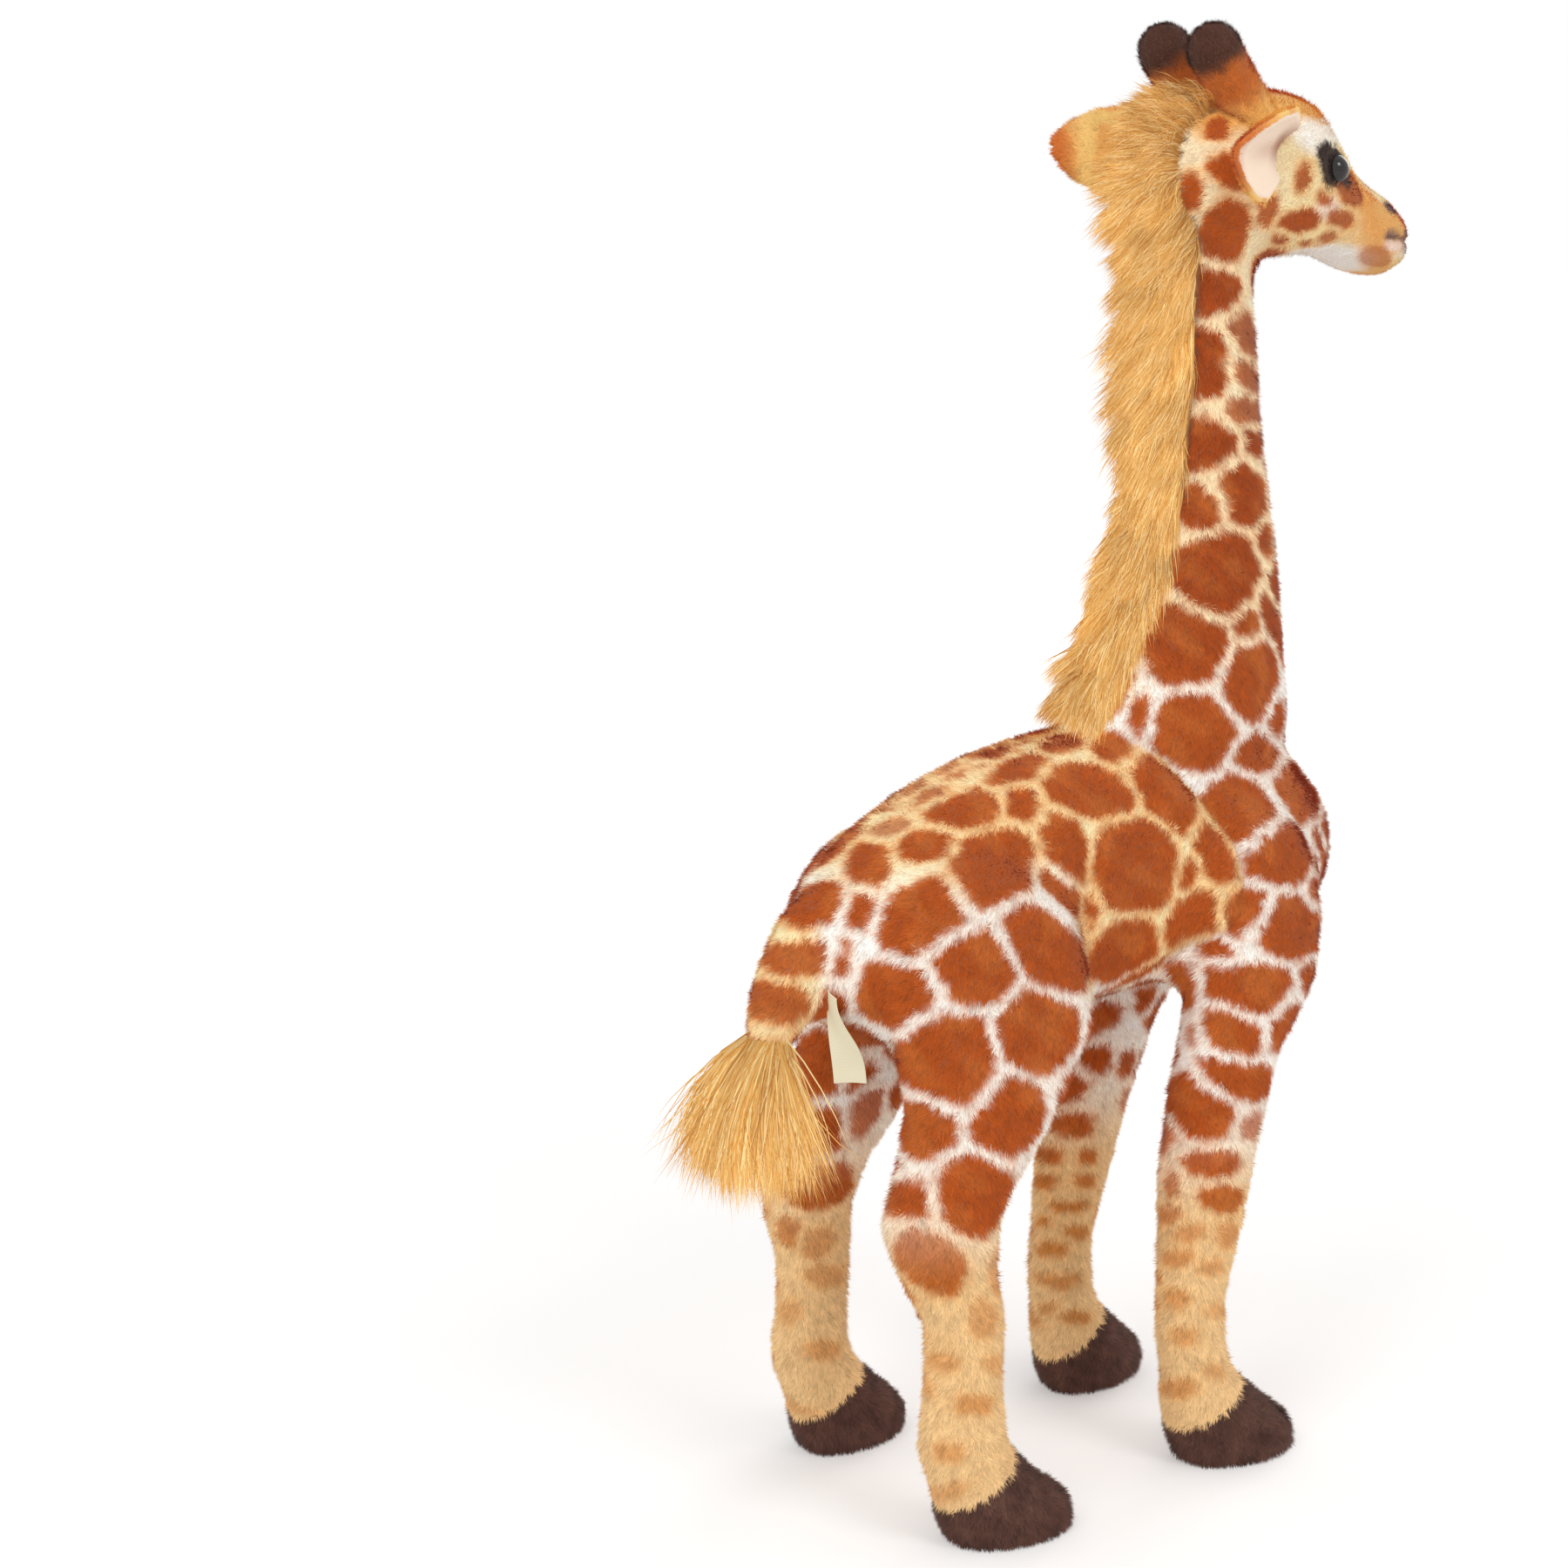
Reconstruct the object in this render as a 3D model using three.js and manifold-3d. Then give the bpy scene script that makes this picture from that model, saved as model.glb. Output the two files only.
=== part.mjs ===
// A standing plush giraffe, built the way it is sewn: plush skins over fibre filling, with stiffening wires in the
// legs, neck and back. Millimetres, +Z up. The giraffe looks towards -Y and its right side is at -X.
import * as THREE from "three";
import { mergeVertices } from "three/addons/utils/BufferGeometryUtils.js";
import Module from "manifold-3d";

const wasm = await Module();
wasm.setup();

// Cloth and gaps
const clearance = 0.3;
const plush = 2.2;
const liningCloth = 1.4;
const ribbon = 0.8;
const overrun = 6;
const soleFlat = 0.5;

// Torso: its rump end, length, the heights of back and belly, and half its width
const rumpY = 122;
const torsoLength = 272;
const backHeight = 338;
const bellyHeight = 204;
const torsoHalf = 44;
const chestSeam = 188;
const bellySeam = 24;
const neckHole = 26;

// Neck: how far its root is from the rump and sinks into the back, its length, how far it leads forward, its half
// sizes at the root and its radius under the head, and the point that it leans about
const neckFromRump = 195;
const neckSink = 16;
const neckLength = 223;
const neckForward = 15;
const neckRootDeep = 60;
const neckRootWide = 38;
const neckTopRadius = 23;
const leanRise = 14;
const leanForward = 2;
const neckRootY = rumpY - neckFromRump;
const neckRootHeight = backHeight - neckSink;
const headSeatY = neckRootY - neckForward;
const headSeatHeight = neckRootHeight + neckLength;

// Head: how far the skull reaches behind the neck's middle and the jaw drops below its seat, then its length, height
// and half its width
const skullBack = 28;
const jawDrop = 19;
const headLength = 136;
const headHeight = 81;
const headHalf = 33.5;
const mouthLength = 31;
const mouthHeight = 13;
const skullY = headSeatY + skullBack;
const jawHeight = headSeatHeight - jawDrop;

// Horns, ears and eyes
const hornRadius = 12;
const hornLength = 53;
const hornLean = 35;
const hornSpread = 17;
const hornForward = 15;
const hornRise = 64;
const earLength = 68;
const earHalf = 24.5;
const earPlush = 2.6;
const earRootOut = 27;
const earBack = 56;
const earCurl = 56;
const earForward = 21;
const earRise = 59;
const eyeRadius = 6.5;
const eyeDome = 4.2;
const eyeStem = 1.8;
const eyeStemLength = 7.5;
const washerRadius = 5.6;
const washerThickness = 1.2;
const earRootY = headSeatY - earForward;
const earRootHeight = jawHeight + earRise;

// Mane: half the width of its strip, how far it stands out, and how deep it sits
const maneHalf = 15;
const maneOut = 7;
const maneHalfDepth = 11.5;
const crestHalfDepth = 6.3;

// Legs: for each pair how far the top is above the belly, its half depth, half width and the place of the foot
const frontLegRise = 96;
const frontLegDeep = 33;
const frontLegWide = 21.5;
const frontFootOut = 54;
const frontFootFromRump = 188;
const rearLegRise = 94;
const rearLegDeep = 54;
const rearLegWide = 21;
const rearFootOut = 62.5;
const rearFootFromRump = 56;
const footHeight = 44;
const footDeep = 34;
const footWide = 23;
const hoofTilt = 30;
const hoofSeamHeight = 27;
const hoofSeamSetback = 16;
const toeOut = 12;
const frontHipOut = 30;
const rearHipOut = 31;
const frontHipRise = 58;
const rearHipRise = 54;

// Wires
const wireRadius = 1.5;
const wireSides = 6;

// Tail and its tuft
const tailSunk = 24;
const tailRise = 71;
const tailReach = 42;
const tailDrop = 58;
const tailRadius = 14.5;
const tuftLength = 82;
const tuftReach = 30;
const tuftRadius = 25;
const tailRootY = rumpY - tailSunk;
const tailRootHeight = bellyHeight + tailRise;

// Sewn-in label
const labelWidth = 14;
const labelLength = 44;
const labelRise = 37;
const labelOut = 22;
const labelTurn = 30;
const labelLean = 8;
const labelSink = 6;

// Turns in degrees that the sewn joints allow, which the mating faces are cut for
const neckLean = 5;
const headNod = 12;
const socketFlare = 14;
const legForward = 10;
const legInward = 6;
const tailSwing = 12;
const earFlap = 12;

// Counts of sides
const torsoSides = 20;
const neckSides = 16;
const headSides = 16;
const legSides = 12;
const tailSides = 10;
const hornSides = 10;
const roundSides = 12;

const axisX = new THREE.Vector3(1, 0, 0);
const axisY = new THREE.Vector3(0, 1, 0);
const axisZ = new THREE.Vector3(0, 0, 1);
const vector = (x, y, z) => new THREE.Vector3(x, y, z);
const radians = THREE.MathUtils.degToRad;
const mix = THREE.MathUtils.lerp;

// Solids: closed geometries for cutting and joining
function solidOf(geometry) {
  const bare = geometry.clone();
  bare.deleteAttribute("normal");
  bare.deleteAttribute("uv");
  const merged = mergeVertices(bare);
  const solid = new wasm.Manifold(
    new wasm.Mesh({
      numProp: 3,
      vertProperties: merged.attributes.position.array,
      triVerts: new Uint32Array(merged.index.array),
    }),
  );
  return solid;
}

function geometryOf(solid) {
  const cut = solid.getMesh();
  const geometry = new THREE.BufferGeometry();
  geometry.setAttribute("position", new THREE.BufferAttribute(new Float32Array(cut.vertProperties), 3));
  geometry.setIndex(new THREE.BufferAttribute(new Uint32Array(cut.triVerts), 1));
  geometry.computeVertexNormals();
  return geometry;
}

// A closed geometry from its points and the corners of its faces, turned to face outwards
function geometryFrom(points, faces) {
  const position = points.flatMap((p) => [p.x, p.y, p.z]);
  let volume = 0;
  for (const [a, b, c] of faces) volume += points[a].dot(vector().crossVectors(points[b], points[c]));
  const facing = volume < 0 ? faces.map(([a, b, c]) => [a, c, b]) : faces;
  const geometry = new THREE.BufferGeometry();
  geometry.setAttribute("position", new THREE.Float32BufferAttribute(position, 3));
  geometry.setIndex(facing.flat());
  return geometry;
}

// A stuffed form: rings round a path, each with a middle, two half sizes and their directions. It can be grown or
// shrunk all over. A hollow that opens at its start runs on there by the overrun.
function loft(rings, sides, grow = 0, open = false) {
  const middles = rings.map((r) => r.middle);
  const last = rings.length - 1;
  const rows = rings.map((r, i) => {
    const ahead = middles[Math.min(i + 1, last)].clone().sub(middles[Math.max(i - 1, 0)]).normalize();
    const share = i / last;
    const shift = grow * (share * share - (1 - share) * (1 - share));
    const middle = r.middle.clone().addScaledVector(ahead, shift);
    return { ...r, middle, ahead };
  });
  if (open) {
    const middle = rows[0].middle.clone().addScaledVector(rows[0].ahead, -overrun);
    rows.unshift({ ...rows[0], middle });
  }
  const points = [];
  const faces = [];
  rows.forEach((r, i) => {
    const round = (value) => Math.sign(value) * Math.abs(value) ** (2 / r.fullness);
    for (let k = 0; k < sides; k += 1) {
      const turn = (2 * Math.PI * k) / sides;
      const point = r.middle.clone().addScaledVector(r.across, round(Math.cos(turn)) * (r.wide + grow));
      points.push(point.addScaledVector(r.upward, round(Math.sin(turn)) * (r.deep + grow)));
      const next = (k + 1) % sides;
      const row = (i - 1) * sides;
      const corners = [row + k, row + next, row + sides + next, row + sides + k];
      if (i > 0) faces.push([corners[0], corners[1], corners[2]], [corners[0], corners[2], corners[3]]);
    }
  });
  const top = points.length - sides;
  const caps = points.push(rows[0].middle, rows[rows.length - 1].middle);
  for (let k = 0; k < sides; k += 1) {
    const next = (k + 1) % sides;
    faces.push([caps - 2, next, k], [caps - 1, top + k, top + next]);
  }
  return geometryFrom(points, faces);
}

// A ring's fullness is 2 where it is an ellipse and more where it is squarer
const ring = (middle, wide, deep, across = axisX, upward = axisY, fullness = 2) => ({
  middle, wide, deep, across, upward, fullness,
});

// Rings square to a path in the plane that faces sideways, from its points and radii
function pathRings(path, radii) {
  return path.map((middle, i) => {
    const ahead = path[Math.min(i + 1, path.length - 1)].clone().sub(path[Math.max(i - 1, 0)]).normalize();
    const upward = vector().crossVectors(ahead, axisX).normalize();
    return ring(middle, radii[i], radii[i], axisX, upward);
  });
}

// All that a neighbour takes up while a piece turns to some angles about an axis through a pivot
function swept(geometry, pivot, axis, angles) {
  let taken = null;
  for (const angle of angles) {
    const turn = new THREE.Matrix4().makeRotationAxis(axis, radians(-angle));
    const place = new THREE.Matrix4().makeTranslation(pivot.x, pivot.y, pivot.z);
    place.multiply(turn).multiply(new THREE.Matrix4().makeTranslation(-pivot.x, -pivot.y, -pivot.z));
    const turned = solidOf(geometry.clone().applyMatrix4(place));
    taken = taken ? taken.add(turned) : turned;
  }
  return taken;
}

// A box between two corners, turned about X through a point where an angle is given
function block(low, high, tilt = 0, pivot = vector(0, 0, 0)) {
  const size = high.clone().sub(low);
  const middle = low.clone().add(high).multiplyScalar(0.5);
  const geometry = new THREE.BoxGeometry(size.x, size.y, size.z);
  geometry.translate(middle.x - pivot.x, middle.y - pivot.y, middle.z - pivot.z);
  geometry.rotateX(radians(tilt));
  geometry.translate(pivot.x, pivot.y, pivot.z);
  return solidOf(geometry);
}

// A round solid along +Z from its profile, moved to a point and turned to face a direction
function turnedSolid(profile, place, facing) {
  const outline = profile.map(([radius, height]) => new THREE.Vector2(radius, height));
  const geometry = new THREE.LatheGeometry(outline, roundSides);
  geometry.rotateX(Math.PI / 2);
  geometry.applyQuaternion(new THREE.Quaternion().setFromUnitVectors(axisZ, facing));
  geometry.translate(place.x, place.y, place.z);
  return solidOf(geometry);
}

function wireSolid(path, radius) {
  const section = new THREE.Shape();
  for (let k = 0; k < wireSides; k += 1) {
    const turn = (2 * Math.PI * k) / wireSides;
    const draw = k ? "lineTo" : "moveTo";
    section[draw](radius * Math.cos(turn), radius * Math.sin(turn));
  }
  section.closePath();
  const options = {
    extrudePath: new THREE.CatmullRomCurve3(path), steps: path.length - 1, bevelEnabled: false,
  };
  return solidOf(new THREE.ExtrudeGeometry(section, options));
}

// A wire along a path and the bore that it lies in, which widens at both ends and runs on out of the filling
function wireWithBore(path, runOn) {
  const [start, second] = path;
  const [beforeEnd, end] = path.slice(-2);
  const radius = wireRadius + clearance;
  const wide = radius + clearance;
  const back = start.clone().sub(second).normalize();
  const ahead = end.clone().sub(beforeEnd).normalize();
  const stretch = (point, way, from, to) =>
    wireSolid([point.clone().addScaledVector(way, from), point.clone().addScaledVector(way, to)], wide);
  const entry = stretch(start, back, -radius, clearance);
  const exit = stretch(end, ahead, -radius, runOn);
  return { wire: wireSolid(path, wireRadius), bore: wireSolid(path, radius).add(entry).add(exit) };
}

// Materials
const cloth = (color, roughness = 0.95) => new THREE.MeshStandardMaterial({ color, roughness, metalness: 0 });
const patchedPlush = cloth(0xc07a3c);
const creamPlush = cloth(0xe8c893);
const tanPlush = cloth(0xe0b985);
const hoofPlush = cloth(0x46302a);
const hornPlush = cloth(0xb8652c);
const goldenPlush = cloth(0xe3b066);
const maneFur = cloth(0xc98f45, 0.85);
const earLiningCloth = cloth(0xe9cfc0);
const fibre = cloth(0xf4f2ec, 1);
const labelCloth = cloth(0xefe9cd, 0.8);
const wireSteel = new THREE.MeshStandardMaterial({ color: 0x9aa0a4, roughness: 0.4, metalness: 1 });
const blackGloss = new THREE.MeshStandardMaterial({ color: 0x0b0a0c, roughness: 0.08, metalness: 0 });
const washerPlastic = new THREE.MeshStandardMaterial({ color: 0xf0f0ee, roughness: 0.45, metalness: 0 });

const giraffe = new THREE.Group();

function addPiece(name, solid, material) {
  const mesh = new THREE.Mesh(geometryOf(solid), material);
  mesh.name = name;
  giraffe.add(mesh);
}

// Torso rings as shares: along from the rump, top and bottom between belly and back, and half width
const torsoShares = [
  [0, 0.43, 0.26, 0.24],
  [0.013, 0.54, 0.165, 0.53],
  [0.053, 0.65, 0.075, 0.74],
  [0.12, 0.755, 0.022, 0.88],
  [0.21, 0.858, 0, 0.95],
  [0.33, 0.94, 0.007, 0.985],
  [0.46, 0.985, 0.03, 1],
  [0.59, 1, 0.05, 1],
  [0.72, 1, 0.067, 0.99],
  [0.83, 0.963, 0.097, 0.94],
  [0.915, 0.86, 0.157, 0.82],
  [0.97, 0.73, 0.254, 0.62],
  [1, 0.58, 0.38, 0.26],
];
const torsoFullness = 2.25;
const torsoHeight = backHeight - bellyHeight;
const torsoRings = torsoShares.map(([along, top, bottom, half]) =>
  ring(
    vector(0, rumpY - torsoLength * along, bellyHeight + (torsoHeight * (top + bottom)) / 2),
    torsoHalf * half,
    (torsoHeight * (top - bottom)) / 2,
    axisX,
    axisZ,
    torsoFullness,
  ),
);
const torsoCutter = loft(torsoRings, torsoSides, clearance);
const legTorsoCutter = loft(torsoRings, torsoSides, 2 * clearance);
const coarseTorsoCutter = loft(torsoRings, torsoSides / 2, plush + 2 * clearance);

// Neck rings as shares: up from the root to the head seat, lean from root place to head place, half depth and half
// width from the head's radius to the root's sizes
const neckShares = [
  [0, 0, 1, 1],
  [0.1, 0.06, 0.93, 0.96],
  [0.17, 0.33, 0.76, 0.84],
  [0.26, 0.63, 0.59, 0.7],
  [0.37, 0.87, 0.4, 0.52],
  [0.51, 1.03, 0.19, 0.32],
  [0.66, 0.97, 0.08, 0.14],
  [0.82, 0.95, 0.02, 0.03],
  [1, 1, 0, 0],
];
const domeTurns = [28, 56, 80];
const socketTurns = [14, 28, 42, 56, 68, 80];
const neckRings = neckShares.map(([up, lean, deep, wide]) =>
  ring(
    vector(0, mix(neckRootY, headSeatY, lean), mix(neckRootHeight, headSeatHeight, up)),
    mix(neckTopRadius, neckRootWide, wide),
    mix(neckTopRadius, neckRootDeep, deep),
  ),
);
domeTurns.forEach((turn) => {
  const rise = neckTopRadius * Math.sin(radians(turn));
  const radius = neckTopRadius * Math.cos(radians(turn));
  neckRings.push(ring(vector(0, headSeatY, headSeatHeight + rise), radius, radius));
});
const leanPivot = vector(0, neckRootY - leanForward, neckRootHeight + leanRise);
const neckRoom = swept(torsoCutter, leanPivot, axisX, [-neckLean, 0, neckLean]);

// Head rings as shares: along from the skull's back, middle height, half height and half width
const headShares = [
  [0, 0.6, 0.13, 0.24],
  [0.035, 0.59, 0.29, 0.52],
  [0.12, 0.565, 0.385, 0.78],
  [0.23, 0.55, 0.435, 0.93],
  [0.36, 0.553, 0.445, 0.99],
  [0.48, 0.55, 0.44, 1],
  [0.575, 0.53, 0.41, 0.96],
  [0.65, 0.45, 0.335, 0.86],
  [0.72, 0.35, 0.275, 0.76],
  [0.81, 0.26, 0.235, 0.68],
  [0.9, 0.21, 0.205, 0.62],
  [0.965, 0.2, 0.15, 0.5],
  [1, 0.195, 0.065, 0.22],
];
const headFullness = 2.15;
const headRings = headShares.map(([along, middle, tall, half]) =>
  ring(
    vector(0, skullY - headLength * along, jawHeight + headHeight * middle),
    headHalf * half,
    headHeight * tall,
    axisX,
    axisZ,
    headFullness,
  ),
);
const headCutter = loft(headRings, headSides, clearance);

// The room in the head's underside for the neck's round top, which flares for the nod. Its flats clear the round,
// and the neck's straight wall where the nod dips them to it.
function neckSocket() {
  const radius = (neckTopRadius / Math.cos(radians(headNod)) + clearance) / Math.cos(Math.PI / roundSides);
  const flare = Math.tan(radians(socketFlare));
  const depth = headSeatHeight - jawHeight + overrun;
  const rim = radius / Math.cos(radians(socketFlare));
  const profile = [[0, -depth], [rim + depth * flare, -depth], [rim, 0]];
  [0, ...socketTurns].forEach((turn) => {
    profile.push([radius * Math.cos(radians(turn)), radius * Math.sin(radians(turn))]);
  });
  profile.push([0, radius]);
  return turnedSolid(profile, vector(0, headSeatY, headSeatHeight), axisZ);
}
const socket = neckSocket();

// A place on the head's side: the point and the way that it faces, from shares along the head and a turn up from
// the side
function onHead(side, along, turn) {
  const at = (share, angle) => {
    const i = Math.max(1, headShares.findIndex(([end]) => end >= share));
    const [from, to] = [headRings[i - 1], headRings[i]];
    const part = (share - headShares[i - 1][0]) / (headShares[i][0] - headShares[i - 1][0]);
    const round = (value) => Math.sign(value) * Math.abs(value) ** (2 / headFullness);
    const middle = from.middle.clone().lerp(to.middle, part);
    middle.x = side * round(Math.cos(radians(angle))) * mix(from.wide, to.wide, part);
    middle.z += round(Math.sin(radians(angle))) * mix(from.deep, to.deep, part);
    return middle;
  };
  const nearShare = 0.03;
  const nearTurn = 8;
  const lengthwise = at(along + nearShare, turn).sub(at(along - nearShare, turn));
  const upwards = at(along, turn + nearTurn).sub(at(along, turn - nearTurn));
  const facing = vector().crossVectors(upwards, lengthwise).normalize();
  if (facing.x * side < 0) facing.negate();
  return { point: at(along, turn), facing };
}

// Torso skins, filling and back wire
function addTorso() {
  const seamY = rumpY - chestSeam;
  const halfSeam = clearance / 2;
  const wide = torsoHalf + overrun;
  const beyond = torsoLength + overrun;
  const hollow = solidOf(loft(torsoRings, torsoSides / 2, -plush));
  const shell = solidOf(loft(torsoRings, torsoSides)).subtract(hollow);
  const hole = turnedSolid(
    [[0, -torsoHeight / 2], [neckHole, -torsoHeight / 2], [neckHole, torsoHeight], [0, torsoHeight]],
    vector(0, leanPivot.y, backHeight),
    axisZ,
  );
  const holed = shell.subtract(hole);
  const bellyTop = bellyHeight + bellySeam;
  const corner = vector(-wide, rumpY - beyond, -overrun);
  const under = (height) => block(corner, vector(wide, rumpY + overrun, height));
  const front = (y) => block(corner, vector(wide, y, backHeight + overrun));
  const upper = holed.subtract(under(bellyTop + halfSeam));
  addPiece("torso_back_skin", upper.subtract(front(seamY + halfSeam)), patchedPlush);
  addPiece("torso_chest_skin", upper.intersect(front(seamY - halfSeam)), patchedPlush);
  addPiece("torso_belly_skin", holed.intersect(under(bellyTop - halfSeam)), creamPlush);
  const wirePathShares = [[0.12, 0.5], [0.33, 0.62], [0.59, 0.68], [0.8, 0.6]];
  const wirePath = wirePathShares.map(([along, up]) =>
    vector(0, rumpY - torsoLength * along, bellyHeight + torsoHeight * up),
  );
  const { wire, bore } = wireWithBore(wirePath, torsoLength / 2);
  const filling = solidOf(loft(torsoRings, torsoSides / 2, -plush - clearance));
  addPiece("torso_filling", filling.subtract(bore), fibre);
  addPiece("spine_wire", wire, wireSteel);
}

// The label hangs from the rump beside the tail, its upper edge in the seam
function addLabel() {
  const geometry = new THREE.BoxGeometry(labelWidth, ribbon, labelLength);
  geometry.translate(0, 0, -labelLength / 2);
  geometry.rotateX(radians(-labelLean));
  geometry.rotateZ(radians(labelTurn));
  geometry.translate(-labelOut, rumpY - labelSink, bellyHeight + labelRise);
  addPiece("care_label", solidOf(geometry).subtract(solidOf(torsoCutter)), labelCloth);
}

// Neck skin, filling, wire and mane, whose lowest row narrows to a share at the withers
const withersShare = 0.6;

function addNeck() {
  const wide = neckRootWide + overrun;
  const low = vector(-wide, neckRootY - neckRootDeep - overrun, headSeatHeight);
  const high = vector(wide, neckRootY + neckRootDeep + overrun, headSeatHeight + neckTopRadius + overrun);
  const hollow = solidOf(loft(neckRings, neckSides / 2, -plush, true));
  const whole = solidOf(loft(neckRings, neckSides));
  const skin = whole.subtract(hollow).subtract(block(low, high)).subtract(neckRoom);
  addPiece("neck_skin", skin, patchedPlush);
  const wireLow = vector(0, headSeatY, backHeight + neckTopRadius);
  const wireHigh = vector(0, headSeatY, headSeatHeight + neckTopRadius / 2);
  const wireMiddle = wireLow.clone().lerp(wireHigh, 0.5);
  const core = solidOf(loft(neckRings, neckSides / 2, -plush - clearance)).subtract(neckRoom);
  const { wire, bore } = wireWithBore([wireLow, wireMiddle, wireHigh], neckTopRadius);
  addPiece("neck_filling", core.subtract(bore), fibre);
  addPiece("neck_wire", wire, wireSteel);
  const maneRings = neckRings.slice(2, neckShares.length).map((r, i, all) => {
    const height = i === all.length - 1 ? r.middle.z - neckTopRadius / 2 : r.middle.z;
    const half = i === 0 ? maneHalf * withersShare : maneHalf;
    return ring(vector(0, r.middle.y + r.deep + maneOut - maneHalfDepth, height), half, maneHalfDepth);
  });
  const strip = solidOf(loft(maneRings, tailSides));
  const neckCutter = solidOf(loft(neckRings, neckSides, clearance));
  addPiece("neck_mane", strip.subtract(neckCutter).subtract(neckRoom), maneFur);
}

// Horns
function hornForm(side, grow, open = false, sides = hornSides) {
  const up = vector(0, Math.sin(radians(hornLean)), Math.cos(radians(hornLean)));
  const root = vector(side * hornSpread, headSeatY - hornForward, jawHeight + hornRise);
  const radiusShares = [[-0.28, 1], [0, 1.04], [0.3, 1], [0.6, 0.98], [0.83, 1.03], [0.94, 0.78], [1, 0.36]];
  const middles = radiusShares.map(([share]) => root.clone().addScaledVector(up, hornLength * share));
  const rings = pathRings(middles, radiusShares.map(([, share]) => hornRadius * share));
  return loft(rings, sides, grow, open);
}

function addHorn(side, name) {
  const skull = solidOf(headCutter);
  const hollow = solidOf(hornForm(side, -plush, true, hornSides / 2));
  addPiece("horn_" + name + "_skin", solidOf(hornForm(side, 0)).subtract(hollow).subtract(skull), hornPlush);
  const core = solidOf(hornForm(side, -plush - clearance, false, hornSides / 2)).subtract(skull);
  addPiece("horn_" + name + "_filling", core, fibre);
}

// Ears: a curled leaf with plush behind and short lining in front. Shares: along the ear and half its width, how
// steeply it droops and how far its face turns down
const halfShares = [[0, 0.5], [0.22, 0.78], [0.46, 1], [0.68, 0.92], [0.87, 0.6], [1, 0.16]];
const earDroopShare = 0.03;
const earDownShare = 0.35;

function earSheet(side, near, far, trim) {
  const back = radians(earBack);
  const curl = radians(earCurl);
  const outward = vector(side * Math.cos(back), Math.sin(back), -earDroopShare).normalize();
  const facing = vector(side * Math.sin(back), -Math.cos(back), -earDownShare).normalize();
  const upward = vector().crossVectors(facing, outward).normalize();
  if (upward.z < 0) upward.negate();
  const columns = 6;
  const root = vector(side * earRootOut, earRootY, earRootHeight);
  const at = (i, j, depth) => {
    const [along, half] = halfShares[i];
    const end = i === halfShares.length - 1 ? trim : 0;
    const wide = earHalf * half - trim * half;
    const turn = curl * ((2 * j) / columns - 1);
    const point = root.clone().addScaledVector(outward, earLength * along - end);
    point.addScaledVector(upward, (Math.sin(turn) / curl) * wide);
    point.addScaledVector(facing, ((1 - Math.cos(turn)) / curl) * wide);
    point.addScaledVector(upward, -Math.sin(turn) * depth);
    return point.addScaledVector(facing, Math.cos(turn) * depth);
  };
  const rows = halfShares.length;
  const points = [];
  const faces = [];
  for (const depth of [near, far])
    for (let i = 0; i < rows; i += 1) for (let j = 0; j <= columns; j += 1) points.push(at(i, j, depth));
  const index = (sheet, i, j) => sheet * rows * (columns + 1) + i * (columns + 1) + j;
  const quad = (a, b, c, d) => faces.push([a, b, c], [a, c, d]);
  for (let i = 0; i + 1 < rows; i += 1) {
    for (let j = 0; j < columns; j += 1) {
      quad(index(0, i, j), index(0, i, j + 1), index(0, i + 1, j + 1), index(0, i + 1, j));
      quad(index(1, i, j), index(1, i + 1, j), index(1, i + 1, j + 1), index(1, i, j + 1));
    }
    quad(index(0, i, 0), index(0, i + 1, 0), index(1, i + 1, 0), index(1, i, 0));
    quad(index(0, i, columns), index(1, i, columns), index(1, i + 1, columns), index(0, i + 1, columns));
  }
  for (let j = 0; j < columns; j += 1) {
    quad(index(0, 0, j), index(1, 0, j), index(1, 0, j + 1), index(0, 0, j + 1));
    quad(index(0, rows - 1, j), index(0, rows - 1, j + 1), index(1, rows - 1, j + 1), index(1, rows - 1, j));
  }
  return geometryFrom(points, faces);
}

function earPivot(side) {
  return vector(side * (headHalf - plush), earRootY, earRootHeight);
}

function addEar(side, name) {
  const axis = vector(side * Math.sin(radians(earBack)), -Math.cos(radians(earBack)), 0);
  const turns = [-earFlap, 0, earFlap];
  const skull = swept(headCutter, earPivot(side), axis, turns);
  const room = skull.add(swept(hornForm(side, clearance), earPivot(side), axis, turns));
  const outer = solidOf(earSheet(side, -earPlush, 0, 0)).subtract(room);
  addPiece("ear_" + name + "_back", outer, goldenPlush);
  const inner = solidOf(earSheet(side, clearance, clearance + liningCloth, plush)).subtract(room);
  addPiece("ear_" + name + "_lining", inner, earLiningCloth);
}

// Eyes: a domed button on a stem, held by a washer behind the skin
const eyeAlongShare = 0.575;
const eyeTurn = 8;
const eyeDomeTurns = [10, 38, 66];

function eyeProfile(grow) {
  const dome = eyeDomeTurns.map((turn) => [
    (eyeRadius + grow) * Math.cos(radians(turn)),
    (eyeDome + grow) * Math.sin(radians(turn)),
  ]);
  return [
    [0, -eyeStemLength - grow], [eyeStem + grow, -eyeStemLength - grow], [eyeStem + grow, -grow],
    [eyeRadius + grow, -grow], ...dome, [0, eyeDome + grow],
  ];
}

function washerProfile(grow) {
  const near = -plush - 2 * clearance + grow;
  const far = near - washerThickness - 2 * grow;
  const bore = eyeStem + clearance - grow;
  return [[bore, far], [washerRadius + grow, far], [washerRadius + grow, near], [bore, near], [bore, far]];
}

function eyeSolids(side, grow) {
  const { point, facing } = onHead(side, eyeAlongShare, eyeTurn);
  return {
    eye: turnedSolid(eyeProfile(grow), point, facing),
    washer: turnedSolid(washerProfile(grow), point, facing),
  };
}

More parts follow.
